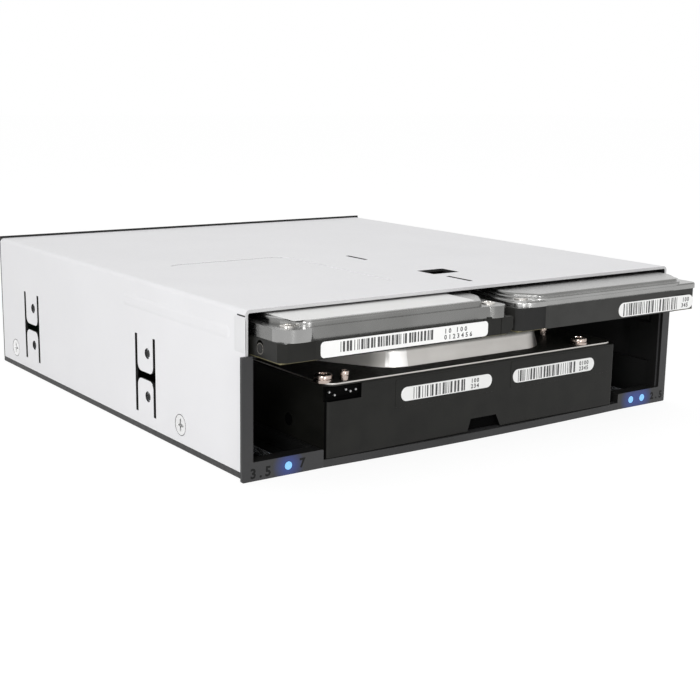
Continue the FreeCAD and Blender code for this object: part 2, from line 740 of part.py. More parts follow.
def build_front_bezel():
    """Black frame round the lower bay: a rim over the sheet edges, a body, and a bowed lip."""
    body = new_body("front_bezel")
    rim_half = half_width + s.bezel_overhang
    rim_post = rim_half - s.post_width
    rim_back = -s.cover_lip - s.sheet_gap
    body_half = flange_out - s.sheet_gap
    body_post = flange_out - s.skirt_gauge
    left_block = -rail_side
    right_block = large_half + s.block_gap
    for front, back, edge, post, top in (
            (bezel_front, rim_back, rim_half, rim_post, small_bottom),
            (rim_back, zero, body_half, body_post, shelf_top)):
        pad(body, "XZ", front, back, loop(
            (-edge, zero, s.bezel_round),
            (edge, zero, s.bezel_round),
            (edge, top),
            (post, top),
            (post, s.block_height, s.bezel_round),
            (right_block, s.block_height, s.bezel_round),
            (right_block, s.lip_height),
            (left_block, s.lip_height),
            (left_block, s.block_height, s.bezel_round),
            (-post, s.block_height, s.bezel_round),
            (-post, top),
            (-edge, top)))
    bow_half = (right_block - left_block) / 2
    bow_middle = (right_block + left_block) / 2
    pad(body, "XY", zero, s.lip_height,
        bowed(bow_middle, bow_half, bezel_front, s.lip_bow))
    pocket(body, "XY", zero, s.base_gauge + s.sheet_gap,
           rectangle(-flange_in - s.sheet_gap, flange_in + s.sheet_gap,
                     -s.tray_nose - s.sheet_gap, s.overrun))
    pocket(body, "XZ", bezel_front - s.overrun, s.overrun,
           *[circle(x, s.pipe_height, s.pipe_radius + s.pipe_gap) for name, x in pipe_list()])
    skirt = pad(body, "XZ", -s.bezel_round, s.skirt_reach,
                rectangle(flange_out - s.skirt_gauge, flange_out,
                          s.flange_height + s.bezel_round,
                          shelf_low - s.shelf_flange - s.skirt_gap))
    mirrored(body, skirt)


def bowed(middle, half, front, bow):
    """A flat segment: a straight back and a front that bows towards -Y."""

    def draw(sketch):
        chord = half.number
        radius = (chord ** 2 + bow.number ** 2) / (2 * bow.number)
        formula = f"(({half.formula}) ^ 2 + ({bow.formula}) ^ 2) / (2 * {bow.formula})"
        left = (middle - half, front)
        right = (middle + half, front)
        centre = (middle, front - bow + radius)
        ring = Part.Circle(flat(centre), Vector(0, 0, 1), radius)
        turn = angle_from(centre, left), angle_from(centre, right)
        arc = sketch.addGeometry(Part.ArcOfCircle(ring, *turn), False)
        line = sketch.addGeometry(Part.LineSegment(flat(right), flat(left)), False)
        rules = [
            (Sketcher.Constraint("Coincident", arc, 2, line, 1), None),
            (Sketcher.Constraint("Coincident", line, 2, arc, 1), None),
            (Sketcher.Constraint("Radius", arc, radius), Dim(radius, formula)),
        ]
        hold(sketch, line, 1, *right, rules)
        hold(sketch, line, 2, *left, rules)
        apply_rules(sketch, rules)

    return draw


def build_mid_shelf():
    """Shelf under the small drives, with turned-down sides and raised beads."""
    body = new_body("mid_shelf")
    flange_low = shelf_low - s.shelf_flange
    edge = flange_out
    inner = edge - s.shelf_gauge
    shelf_back = wall_front - s.shelf_gauge
    pad(body, "XZ", s.shelf_front, shelf_back, loop(
        (-edge, flange_low),
        (-edge, shelf_top, s.shelf_gauge + s.bend_radius),
        (edge, shelf_top, s.shelf_gauge + s.bend_radius),
        (edge, flange_low),
        (inner, flange_low),
        (inner, shelf_low, s.bend_radius),
        (-inner, shelf_low, s.bend_radius),
        (-inner, flange_low)))
    near = small_centre - small_half + s.bead_inset
    far = small_centre + small_half - s.bead_inset
    bead_front = s.shelf_front + s.bead_inset
    bead_back = upper_socket_front - s.bead_inset
    beads = pad(body, "XY", shelf_top, shelf_top + s.bead_rise,
                rectangle(near, near + s.bead_width, bead_front, bead_back),
                rectangle(far - s.bead_width, far, bead_front, bead_back))
    mirrored(body, beads)
    half_web = s.divider_gauge / 2 + s.tab_gap
    pocket(body, "XY", shelf_low, shelf_top,
           *[rectangle(-half_web, half_web, first - s.tab_gap,
                       first + s.tab_length + s.tab_gap)
             for first in (s.tab_first, s.tab_second)],
           rectangle(-s.link_half - s.mate_gap, s.link_half + s.mate_gap,
                     lower_board_front - s.link_gauge - s.mate_gap,
                     lower_board_front + s.mate_gap))


def build_centre_divider():
    """Folded strip between the small bays, with tabs up and down."""
    body = new_body("centre_divider")
    half_web = s.divider_gauge / 2
    flange_end = s.tab_offset + half_web
    flange_low = ceiling - s.divider_gauge
    pad(body, "XZ", s.divider_front, small_seat - s.divider_short, loop(
        (-half_web, shelf_top),
        (half_web, shelf_top),
        (half_web, flange_low),
        (flange_end, flange_low),
        (flange_end, ceiling),
        (-half_web, ceiling)))
    for first in (s.tab_first, s.tab_second):
        pad(body, "XY", ceiling - s.divider_gauge / 2, cage_top - s.tab_sink,
            rectangle(s.tab_offset - half_web, flange_end, first, first + s.tab_length))
        pad(body, "XY", shelf_low, shelf_top + half_web,
            rectangle(-half_web, half_web, first, first + s.tab_length))


# ---------------------------------------------------------------- rails and guides

def peg_x():
    """Rail pegs stand under the middle of the rail's foot, outside the drive."""
    return rail_side + s.rail_wall / 2 - s.rail_foot / 2


def peg_rows():
    """Rail pegs along the rail."""
    return (s.rail_front + s.peg_inset, rail_back - s.peg_inset)


def pegs(side):
    """The outlines of one rail's square pegs, on the given side."""
    x = peg_x() * side
    return [rectangle(x - s.peg_half, x + s.peg_half, y - s.peg_half, y + s.peg_half)
            for y in peg_rows()]


def build_guide_rails():
    """Two L-rails that carry the large drive and keep it straight."""
    for name, side in (("guide_rail_left", -1), ("guide_rail_right", 1)):
        body = new_body(name)
        foot_end = rail_side - s.rail_foot
        corners = [(foot_end, s.base_gauge), (rail_side + s.rail_wall, s.base_gauge),
                   (rail_side + s.rail_wall, s.rail_top), (rail_side, s.rail_top),
                   (rail_side, s.lip_height), (foot_end, s.lip_height)]
        pad(body, "XZ", s.rail_front, rail_back, loop(*[(x * side, z) for x, z in corners]))
        pad(body, "XY", zero, s.base_gauge, *pegs(side))


def pipe_list():
    """The three light guides: name and place across the cage."""
    channel = (rail_side + s.rail_wall + flange_in) / 2
    return (("light_pipe_lower", s.pipe_lower - channel),
            ("light_pipe_left", channel - s.pipe_left),
            ("light_pipe_right", channel + s.pipe_right))


def build_light_guides():
    """Clear rods from the lamps to the bezel, their saddles and the lamps."""
    lamp_front = lower_board_front - s.lamp_rise
    clips = []
    lamps = []
    for name, x in pipe_list():
        length = lamp_front - bezel_front - s.pipe_gap
        node(name, rod("Y", x, bezel_front, s.pipe_height, s.pipe_radius, length))
        half_clip = s.pipe_radius + s.clip_wall
        for y in peg_rows():
            saddle = box(x - half_clip, x + half_clip, y, y + s.clip_length,
                         s.base_gauge, s.pipe_height + s.pipe_radius / 2)
            hollow = box(x - s.pipe_radius, x + s.pipe_radius, y - s.overrun,
                         y + s.clip_length + s.overrun,
                         s.pipe_height - s.pipe_radius, s.pipe_height + s.pipe_radius)
            clips.append(cut(saddle, hollow))
        half_lamp = s.lamp_size / 2
        lamps.append(box(x - half_lamp, x + half_lamp, lamp_front, lower_board_front,
                         s.pipe_height - half_lamp, s.pipe_height + half_lamp))
    node("pipe_clips", grouped(*clips))
    node("status_lamps", grouped(*lamps))


# ---------------------------------------------------------------- boards and ports

def port_list():
    """Rear cable ports: name, middle across, middle height and width."""
    upper = upper_board_low - s.port_height / 2
    return (("data_port_lower", s.lower_data_place, s.lower_port_height, s.data_port_width),
            ("power_port", s.lower_power_place, s.lower_port_height, s.power_port_width),
            ("data_port_left", -s.upper_data_place, upper, s.data_port_width),
            ("data_port_right", s.upper_data_place, upper, s.data_port_width))


def build_ports():
    """Shrouded cable ports that stand through the rear wall."""
    for name, x, z, width in port_list():
        upper = name in ("data_port_left", "data_port_right")
        start = wall_back - s.upper_port_length if upper else lower_board_back
        end = wall_back + s.port_proud
        half_wide = width / 2
        half_high = s.port_height / 2
        shell = box(x - half_wide, x + half_wide, start, end, z - half_high, z + half_high)
        mouth = start + s.port_floor
        cavity = box(x - half_wide + s.port_wall, x + half_wide - s.port_wall,
                     mouth, end + s.overrun,
                     z - half_high + s.port_wall, z + half_high - s.port_wall)
        half_blade = s.port_blade / 2
        blade = box(x - half_wide + s.port_wall * 2, x + half_wide - s.port_wall * 2,
                    mouth - s.overrun, end - s.port_wall, z - half_blade, z + half_blade)
        node(name, fused(cut(shell, cavity), blade))


def key_shapes(x, z, grow):
    """Two L-shaped tongue sections round (x, z), grown by a clearance."""
    half_gauge = s.tongue_gauge / 2
    spans = ((x - s.tongue_half, x + s.tongue_split),
             (x + s.tongue_split + s.tongue_space, x + s.tongue_half))
    for low, high in spans:
        yield (low - grow, high + grow, z - half_gauge - grow, z + half_gauge + grow)
        yield (low - grow, low + s.tongue_gauge + grow,
               z - half_gauge - s.tongue_key - grow, z - half_gauge)


def build_socket(name, x, z, front):
    """A 22-way receptacle with two L-shaped cavities."""
    half = s.tongue_half + s.mate_gap + s.socket_wall
    block = box(x - half, x + half, front, front + s.socket_body,
                z - socket_half_height, z + socket_half_height)
    depth = s.tongue_length + s.mate_gap / 2
    cavities = [box(x0, x1, front - s.overrun, front + depth, z0, z1)
                for x0, x1, z0, z1 in key_shapes(x, z, s.mate_gap)]
    node(name, cut(block, *cavities))


def build_plug(name, x, bottom, back):
    """A drive's plug: a spine with two L-shaped tongues."""
    z = bottom + s.plug_rise
    tongue_end = back - s.tongue_short
    spine_back = tongue_end - s.tongue_length
    spine = box(x - s.plug_half, x + s.plug_half, spine_back - s.plug_spine, spine_back,
                z - s.plug_height / 2, z + s.plug_height / 2)
    tongues = [box(x0, x1, spine_back - s.plug_spine, tongue_end, z0, z1)
               for x0, x1, z0, z1 in key_shapes(x, z, zero)]
    node(name, fused(spine, *tongues))


def build_boards():
    """Both boards with their sockets, standoffs, screws and the link."""
    side = board_half - s.standoff_side
    sides = (-side, side)
    rows = (upper_board_front + s.standoff_inset, upper_board_end - s.standoff_inset)
    upper_half = flange_in - s.upper_board_side
    plate = box(-upper_half, upper_half, upper_board_front, upper_board_end,
                upper_board_low, upper_board_high)
    drill = [rod("Z", x, y, upper_board_low - s.overrun, s.screw_shank,
                 s.board_gauge + s.overrun * 2)
             for x in sides for y in rows]
    node("upper_board", cut(plate, *drill))
    node("upper_standoffs", grouped(*[
        hexagon("Z", x, y, shelf_top, s.standoff_radius, upper_board_low - shelf_top)
        for x in sides for y in rows]))
    node("upper_board_screws", grouped(*[
        fused(hexagon("Z", x, y, upper_board_high, s.board_screw_radius, s.board_screw_rise),
              hexagon("Z", x, y, upper_board_low, s.screw_shank, s.board_gauge))
        for x in sides for y in rows]))
    upright = box(-board_half, board_half, lower_board_front, lower_board_back,
                  s.lower_board_low, lower_board_high)
    drill = [rod("Y", x, lower_board_front - s.overrun, s.standoff_rise, s.screw_shank,
                 s.board_gauge + s.overrun * 2)
             for x in sides]
    air_half = s.air_width / 2
    windows = [box(x - air_half, x + air_half, lower_board_front - s.overrun,
                   lower_board_back + s.overrun,
                   s.air_low, lower_board_high - s.air_high)
               for x in (-s.upper_data_place, s.upper_data_place)]
    node("lower_board", cut(upright, *drill, *windows))
    node("lower_standoffs", grouped(*[
        hexagon("Y", x, lower_board_back, s.standoff_rise, s.standoff_radius,
                wall_front - lower_board_back)
        for x in sides]))
    node("lower_board_screws", grouped(*[
        fused(hexagon("Y", x, lower_board_front - s.board_screw_rise, s.standoff_rise,
                      s.board_screw_radius, s.board_screw_rise),
              hexagon("Y", x, lower_board_front, s.standoff_rise, s.screw_shank,
                      s.board_gauge))
        for x in sides]))
    node("board_link", box(-s.link_half, s.link_half, lower_board_front - s.link_gauge,
                           lower_board_front, lower_board_high - s.port_height,
                           upper_board_low))
    build_socket("lower_socket", large_plug, large_bottom + s.plug_rise, lower_socket_front)
    build_socket("left_socket", -small_centre + small_plug, upper_plug_height,
                 upper_socket_front)
    build_socket("right_socket", small_centre + small_plug, upper_plug_height,
                 upper_socket_front)


def build_cover_screws():
    """Countersunk screws through the cover, and the nuts they turn into."""
    screws = []
    nuts = []
    for y in screw_places:
        for side, turn in ((-1, 1), (1, -1)):
            face = half_width * side
            head_end = inner_half * side
            low_x = face if side < 0 else head_end
            radii = (s.screw_head, s.screw_shank) if side < 0 else (s.screw_shank, s.screw_head)
            head = cone("X", low_x, y, s.screw_height, *radii, s.cover_gauge)
            shank_low = head_end if side < 0 else head_end - s.screw_reach
            shank = hexagon("X", shank_low, y, s.screw_height, s.screw_shank, s.screw_reach)
            screws.append(fused(head, shank))
            nut_low = flange_in * side if side < 0 else flange_in - s.nut_height
            nut = hexagon("X", nut_low, y, s.screw_height, s.nut_radius, s.nut_height)
            bore = rod("X", nut_low - s.overrun, y, s.screw_height, s.screw_shank,
                       s.nut_height + s.overrun * 2)
            nuts.append(cut(nut, bore))
    node("cover_screws", grouped(*screws))
    node("clinch_nuts", grouped(*nuts))


# ---------------------------------------------------------------- large drive

def build_large_drive():
    """3.5 inch drive: casting, lid with a raised deck, board, plug and screws."""
    body = new_body("lower_drive_base")
    pad(body, "XY", large_bottom, ledge,
        rectangle(-large_half, large_half, large_front, large_back, s.casting_corner))
    recess_back = large_back - s.large_board_inset
    board_side_x = large_half - s.large_board_rim
    board_front = large_front + s.large_board_inset
    well_top = large_bottom + s.large_board_lift + s.board_gauge
    pocket(body, "XY", large_bottom, well_top,
           rectangle(-board_side_x - s.running_gap, board_side_x + s.running_gap,
                     board_front - s.running_gap, recess_back + s.running_gap))
    pocket(body, "XZ", large_back - s.recess_depth, large_back,
           rectangle(large_plug - s.plug_half - s.running_gap,
                     large_plug + s.plug_half + s.running_gap,
                     large_bottom, large_bottom + s.large_recess))
    pocket(body, "XZ", large_front, large_front + s.notch_depth,
           loop((-s.notch_left, large_bottom),
                (s.notch_right, large_bottom),
                (s.notch_right - s.notch_draft, large_bottom + s.notch_height),
                (s.notch_ramp - s.notch_left, large_bottom + s.notch_height)),
           rectangle(-large_half, -large_half + s.corner_width,
                     ledge - s.corner_height, ledge))
    hole_rows = (large_back - s.side_hole_rear, large_back - s.side_hole_rear - s.side_hole_span)
    holes = pocket(body, "YZ", large_half - s.drive_hole_depth, large_half,
                   *[circle(y, large_bottom + s.side_hole_rise, s.drive_hole_radius)
                     for y in hole_rows])
    mirrored(body, holes)

    lid = new_body("lower_drive_cover")
    rim = s.lid_rim
    lid_top = ledge + s.lid_gauge
    pad(lid, "XY", ledge, lid_top,
        loop((-large_half + rim, large_front + rim, s.lid_corner),
             (large_half - rim, large_front + rim, s.lid_corner),
             (large_half - rim, large_back - rim, s.casting_corner),
             (-large_half + rim, large_back - rim, s.casting_corner)))
    cheek = s.deck_nose + s.deck_cheek
    deck_half = large_half - s.deck_rim
    deck_back = large_back - s.deck_back_inset
    right_side = [
        (s.deck_nose, large_front + s.deck_nose_inset),
        (cheek, large_front + s.deck_nose_inset + s.deck_cheek),
        (s.deck_neck, large_front + s.deck_neck_inset),
        (deck_half, large_front + s.deck_wide_inset),
        (deck_half, deck_back - s.deck_back_corner),
        (deck_half - s.deck_back_corner, deck_back),
    ]
    left_side = [(-x, y) for x, y in reversed(right_side)]
    pad(lid, "XY", lid_top - s.lid_gauge / 2, large_top, loop(*right_side, *left_side))
    dress(lid, "Fillet", s.deck_round, level_edge(large_top))

    node("lower_drive_board", box(-board_side_x, board_side_x,
                                  board_front, recess_back,
                                  large_bottom + s.large_board_lift, well_top))
    build_plug("lower_drive_plug", large_plug, large_bottom, large_back)
    front_row = large_front + s.lid_screw_radius + rim * 2
    back_row = large_back - s.lid_screw_inset
    side = large_half - s.lid_screw_radius - rim * 2
    right_front = large_half - s.lid_screw_inset * 2
    places = [(-side, front_row), (right_front, front_row), (-side, back_row), (side, back_row)]
    node("lower_drive_screws", grouped(*[
        hexagon("Z", x, y, lid_top, s.lid_screw_radius, s.lid_screw_rise) for x, y in places]))


# ---------------------------------------------------------------- small drives

def build_small_drive(name, middle, lid_side):
    """2.5 inch drive: board, casting, stepped lid, plug and screws."""
    left = middle - small_half
    right = middle + small_half
    board_top = small_bottom + s.small_board_gauge
    shoulder = small_top - s.tier_drop
    casting_top = shoulder - lid_side
    notch = s.plug_half + s.running_gap
    plug_x = middle + small_plug
    inset = s.small_board_inset
    node(f"{name}_board", box(left + inset, right - inset, small_front + s.small_corner,
                              small_back - s.recess_depth - inset,
                              small_bottom, board_top))

    body = new_body(f"{name}_base")
    ear_front = small_front + s.ear_inset
    pad(body, "XY", board_top, casting_top, loop(
        (left + s.front_ear + s.ear_inset, small_front),
        (right - s.front_ear - s.ear_inset, small_front),
        (right - s.front_ear, ear_front),
        (right - s.small_corner, ear_front),
        (right, ear_front + s.small_corner),
        (right, small_back),
        (left, small_back),
        (left, ear_front + s.small_corner),
        (left + s.small_corner, ear_front),
        (left + s.front_ear, ear_front)))
    pocket(body, "XZ", small_back - s.recess_depth, small_back,
           rectangle(plug_x - notch, plug_x + notch, board_top - s.overrun,
                     small_bottom + s.small_recess))
    hole_rows = (small_back - s.small_hole_rear,
                 small_back - s.small_hole_rear - s.small_hole_span)
    holes = [circle(y, small_bottom + s.small_hole_rise, s.screw_shank) for y in hole_rows]
    pocket(body, "YZ", left, left + s.drive_hole_depth, *holes)
    pocket(body, "YZ", right - s.drive_hole_depth, right, *holes)

    lid = new_body(f"{name}_cover")
    lid_back = small_back - s.lid_back
    rim = s.tier_inset
    corner = s.small_corner
    lid_front = ear_front + rim
    pad(lid, "XY", casting_top, shoulder, loop(
        (left + rim + corner, lid_front),
        (right - rim - corner, lid_front),
        (right - rim, lid_front + corner),
        (right - rim, lid_back),
        (left + rim, lid_back),
        (left + rim, lid_front + corner)))
    dress(lid, "Chamfer", s.tier_slope, level_edge(shoulder))
    crown_left = left + s.crown_side
    crown_right = right - s.crown_side
    crown_front = small_front + s.crown_front
    crown_back = lid_back - s.crown_front
    cut_off = s.crown_corner
    pad(lid, "XY", shoulder - s.tier_slope, small_top, loop(
        (crown_left + cut_off, crown_front),
        (crown_right - cut_off, crown_front),
        (crown_right, crown_front + cut_off),
        (crown_right, crown_back - cut_off),
        (crown_right - cut_off, crown_back),
        (crown_left + cut_off, crown_back),
        (crown_left, crown_back - cut_off),
        (crown_left, crown_front + cut_off)))
    dress(lid, "Chamfer", s.crown_slope, level_edge(small_top))

    build_plug(f"{name}_plug", plug_x, small_bottom, small_back)
    screw = s.lid_screw_inset
    places = [(x, y) for x in (left + screw, right - screw)
              for y in (small_front + screw, lid_back - screw)]
    node(f"{name}_screws", grouped(*[
        hexagon("Z", x, y, shoulder, s.lid_screw_radius, s.small_screw_rise)
        for x, y in places]))


# ---------------------------------------------------------------- build and export

def check_and_export():
    """Stop on any failed object, then write one STEP file for each node."""
    doc.recompute()
    for item in doc.Objects:
        if {"Invalid", "Error"} & set(item.State):
            raise RuntimeError(f"{item.Name} failed: {item.State}")
    os.makedirs("parts", exist_ok=True)
    labels = [item.Label for item in nodes]
    if len(set(labels)) != len(labels):
        raise RuntimeError("two nodes share a name")
    for item in nodes:
        if item.Shape.isNull() or not item.Shape.isValid():
            raise RuntimeError(f"{item.Label} has no valid shape")
        item.Shape.exportStep(f"parts/{item.Label}.step")
        print(item.Label, len(item.Shape.Solids), round(item.Shape.Volume, 1))


build_cover_shell()
build_base_tray()
build_front_bezel()
build_mid_shelf()
build_centre_divider()
build_guide_rails()
build_light_guides()
build_ports()
build_boards()
build_cover_screws()
build_large_drive()
build_small_drive("left_drive", -small_centre, s.left_lid)
build_small_drive("right_drive", small_centre, s.right_lid)
check_and_export()
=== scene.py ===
import math
import random

import bmesh
import bpy
from mathutils import Matrix, Vector


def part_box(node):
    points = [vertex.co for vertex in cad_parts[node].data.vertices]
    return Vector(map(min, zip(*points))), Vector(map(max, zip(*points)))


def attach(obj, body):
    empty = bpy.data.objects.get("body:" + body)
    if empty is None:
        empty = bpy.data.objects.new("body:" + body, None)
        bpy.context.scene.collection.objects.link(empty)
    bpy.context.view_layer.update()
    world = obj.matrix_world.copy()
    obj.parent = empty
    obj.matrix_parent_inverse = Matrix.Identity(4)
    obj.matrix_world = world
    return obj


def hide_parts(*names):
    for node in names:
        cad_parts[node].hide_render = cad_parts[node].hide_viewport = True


# Looks of the hot swap drive cage. Shapes are drawn in millimetres and scaled as they are baked.

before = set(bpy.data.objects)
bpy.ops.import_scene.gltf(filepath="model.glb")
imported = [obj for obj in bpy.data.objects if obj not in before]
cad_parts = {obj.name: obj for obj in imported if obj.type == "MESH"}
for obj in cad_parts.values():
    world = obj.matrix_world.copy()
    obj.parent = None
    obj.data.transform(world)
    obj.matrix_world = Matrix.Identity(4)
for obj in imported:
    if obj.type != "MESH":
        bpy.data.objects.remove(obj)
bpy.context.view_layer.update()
MM = 0.001


# ---------------------------------------------------------------- materials

class Finish:
    """A surface finish under construction: one principled shader and what feeds it."""

    def __init__(self, name, colour, roughness, metallic=0.0, specular=0.5):
        self.material = bpy.data.materials.new(name)
        self.material.use_nodes = True
        self.nodes = self.material.node_tree.nodes
        self.links = self.material.node_tree.links
        self.shader = self.nodes["Principled BSDF"]
        self.shader.inputs["Base Color"].default_value = (*colour, 1)
        self.shader.inputs["Roughness"].default_value = roughness
        self.shader.inputs["Metallic"].default_value = metallic
        self.shader.inputs["Specular IOR Level"].default_value = specular
        self.place = self.nodes.new("ShaderNodeTexCoord").outputs["Object"]
        self.height = None

    def feed(self, socket, value):
        """Link an output, or set a plain value."""
        if isinstance(value, bpy.types.NodeSocket):
            self.links.new(value, socket)
        else:
            socket.default_value = value

    def stretched(self, scale):
        """Object coordinates, scaled along each axis."""
        mapping = self.nodes.new("ShaderNodeMapping")
        self.links.new(self.place, mapping.inputs["Vector"])
        mapping.inputs["Scale"].default_value = scale
        return mapping.outputs["Vector"]

    def noise(self, size, detail, stretch=(1, 1, 1)):
        """Cloudy noise whose lumps are about size millimetres across."""
        node = self.nodes.new("ShaderNodeTexNoise")
        self.links.new(self.stretched(stretch), node.inputs["Vector"])
        node.inputs["Scale"].default_value = 1 / (size * MM)
        node.inputs["Detail"].default_value = detail
        return node.outputs["Fac"]

    def cells(self, size, metric="EUCLIDEAN"):
        """Distances in a field of cells about size millimetres across."""
        node = self.nodes.new("ShaderNodeTexVoronoi")
        node.distance = metric
        self.links.new(self.place, node.inputs["Vector"])
        node.inputs["Scale"].default_value = 1 / (size * MM)
        return node.outputs["Distance"]

    def maths(self, kind, first, second=0.0):
        """One step of arithmetic."""
        node = self.nodes.new("ShaderNodeMath")
        node.operation = kind
        for socket, value in zip(node.inputs, (first, second)):
            self.feed(socket, value)
        return node.outputs[0]

    def span(self, value, low, high, out_low=0.0, out_high=1.0):
        """Carry a value from one range to another, and hold it inside."""
        node = self.nodes.new("ShaderNodeMapRange")
        self.feed(node.inputs["Value"], value)
        node.inputs["From Min"].default_value = low
        node.inputs["From Max"].default_value = high
        node.inputs["To Min"].default_value = out_low
        node.inputs["To Max"].default_value = out_high
        return node.outputs["Result"]

    def blend(self, factor, first, second):
        """Mix two colours."""
        node = self.nodes.new("ShaderNodeMix")
        node.data_type = "RGBA"
        self.feed(node.inputs["Factor"], factor)
        for socket, colour in (("A", first), ("B", second)):
            is_link = isinstance(colour, bpy.types.NodeSocket)
            self.feed(node.inputs[socket], colour if is_link else (*colour, 1))
        return node.outputs["Result"]

    def colour(self, value):
        """Feed the base colour."""
        self.feed(self.shader.inputs["Base Color"], value)

    def rough(self, value):
        """Feed the roughness."""
        self.feed(self.shader.inputs["Roughness"], value)

    def drift(self, size, detail, dark, light):
        """Let the base colour wander slowly between two shades."""
        noise = self.noise(size, detail)
        self.colour(self.blend(self.span(noise, 0.3, 0.7), dark, light))

    def glow(self, value):
        """Give off a colour as light of its own."""
        self.feed(self.shader.inputs["Emission Color"], value)
        self.shader.inputs["Emission Strength"].default_value = 1.0

    def raise_surface(self, value, height):
        """Add fine relief, height millimetres deep."""
        node = self.nodes.new("ShaderNodeBump")
        node.inputs["Distance"].default_value = height * MM
        self.links.new(value, node.inputs["Height"])
        if self.height is not None:
            self.links.new(self.height, node.inputs["Normal"])
        self.height = node.outputs["Normal"]
        self.links.new(self.height, self.shader.inputs["Normal"])


def powder_coat(name, dark, light, roughness, specular=0.5):
    """Baked powder coat: a soft orange peel with fine grit."""
    finish = Finish(name, light, roughness, specular=specular)
    peel = finish.noise(1.3, 2)
    grit = finish.noise(0.22, 1)
    finish.drift(28, 3, dark, light)
    finish.rough(finish.span(peel, 0.3, 0.7, roughness - 0.05, roughness + 0.06))
    finish.raise_surface(peel, 0.012)
    finish.raise_surface(grit, 0.004)
    return finish.material


def grained(name, dark, light, roughness, specular, grain):
    """Moulded plastic with an etched grain, left open for more to be added."""
    finish = Finish(name, light, roughness, specular=specular)
    etch = finish.noise(grain, 3)
    finish.drift(18, 2, dark, light)
    finish.rough(finish.span(etch, 0.3, 0.7, roughness - 0.06, roughness + 0.08))
    finish.raise_surface(etch, 0.012)
    return finish


def moulded(name, dark, light, roughness, specular, grain=0.35):
    """Moulded plastic with an etched grain."""
    return grained(name, dark, light, roughness, specular, grain).material


def dipped_casting(name, dark, light):
    """Black electro-dipped die casting, smooth with faint flow marks."""
    finish = Finish(name, dark, 0.36, specular=0.21)
    flow = finish.noise(6, 4, (1, 0.4, 1))
    fine = finish.noise(0.5, 2)
    finish.colour(finish.blend(finish.span(flow, 0.35, 0.65), dark, light))
    finish.rough(finish.span(flow, 0.3, 0.7, 0.32, 0.46))
    finish.raise_surface(fine, 0.006)
    return finish.material


def satin_metal(name, dark, light, roughness, size=0.35, depth=0.004, spread=0.07):
    """Metal with a satin surface, whose fine grain is about size millimetres across."""
    finish = Finish(name, light, roughness, metallic=1.0)
    grain = finish.noise(size, 3)
    finish.drift(14, 3, dark, light)
    finish.rough(finish.span(grain, 0.25, 0.75, roughness - spread, roughness + spread))
    finish.raise_surface(grain, depth)
    return finish.material


def label_paper():
    """Coated white label stock."""
    dark, light = (0.825, 0.825, 0.815), (0.865, 0.865, 0.855)
    finish = Finish("label_paper", light, 0.45, specular=0.4)
    fibre = finish.noise(0.15, 3)
    finish.drift(9, 2, dark, light)
    finish.rough(finish.span(fibre, 0.3, 0.7, 0.4, 0.55))
    finish.raise_surface(fibre, 0.002)
    return finish.material


def label_ink():
    """Thermal print, a soft black with uneven cover."""
    full, thin = (0.025, 0.025, 0.026), (0.16, 0.16, 0.16)
    finish = Finish("label_ink", full, 0.55)
    cover = finish.noise(0.12, 2)
    finish.colour(finish.blend(finish.span(cover, 0.45, 0.75), full, thin))
    return finish.material


def circuit_board(name, resist, copper):
    """Solder resist over tracks and tinned holes."""
    tin = (0.55, 0.52, 0.42)
    bands_per_cell = 34.0
    finish = Finish(name, resist, 0.34)
    tracks = finish.cells(2.2, "CHEBYCHEV")
    bands = finish.maths("SINE", finish.maths("MULTIPLY", tracks, bands_per_cell))
    track = finish.span(bands, 0.1, 0.45)
    tinned = finish.span(finish.cells(2.9), 0.16, 0.11)
    resist_colour = finish.blend(track, resist, copper)
    finish.colour(finish.blend(tinned, resist_colour, tin))
    finish.rough(finish.span(track, 0, 1, 0.4, 0.28))
    finish.raise_surface(track, 0.03)
    return finish.material


def board_edge():
    """Bare glass laminate at a board's cut edge."""
    pale, dark = (0.20, 0.18, 0.085), (0.11, 0.10, 0.05)
    finish = Finish("board_edge", pale, 0.5)
    plies = finish.noise(0.25, 2, (0.1, 0.1, 1))
    finish.colour(finish.blend(plies, pale, dark))
    return finish.material


def clear_acrylic():
    """Polished acrylic rod."""
    finish = Finish("clear_acrylic", (0.95, 0.97, 1.0), 0.08)
    finish.shader.inputs["Transmission Weight"].default_value = 0.9
    finish.shader.inputs["IOR"].default_value = 1.49
    finish.rough(finish.span(finish.noise(1.5, 2), 0.3, 0.7, 0.05, 0.14))
    return finish.material


def lit_lens():
    """The lit end of a light guide, a blue that wavers slightly."""
    blue, pale_blue = (0.17, 0.48, 0.95), (0.28, 0.60, 0.97)
    finish = Finish("lit_lens", (0.05, 0.10, 0.2), 0.4)
    ripple = finish.noise(0.5, 2)
    finish.glow(finish.blend(finish.span(ripple, 0.3, 0.7), blue, pale_blue))
    return finish.material


def bezel_plastic(lamps):
    """Grained black bezel that the blue lamps light up close round their holes."""
    far_edge, near_edge, falloff = 4.6 * MM, 0.9 * MM, 1.1
    unlit, lit_blue = (0, 0, 0), (0.0, 0.024, 0.19)
    finish = grained("bezel_black", (0.026, 0.026, 0.027), (0.034, 0.034, 0.035), 0.5, 0.4, 0.35)
    light = 0.0
    for lamp in lamps:
        distance = finish.nodes.new("ShaderNodeVectorMath")
        distance.operation = "DISTANCE"
        finish.links.new(finish.place, distance.inputs[0])
        distance.inputs[1].default_value = lamp
        near = finish.span(distance.outputs["Value"], far_edge, near_edge)
        light = finish.maths("ADD", finish.maths("POWER", near, falloff), light)
    finish.glow(finish.blend(light, unlit, lit_blue))
    return finish.material


# ---------------------------------------------------------------- shapes

def find_box(node):
    """A node's lowest and highest corners in millimetres."""
    low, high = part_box(node)
    return low / MM, high / MM


def added(bm, before):
    """The corners that aren't in an earlier set."""
    return [vert for vert in bm.verts if vert not in before]


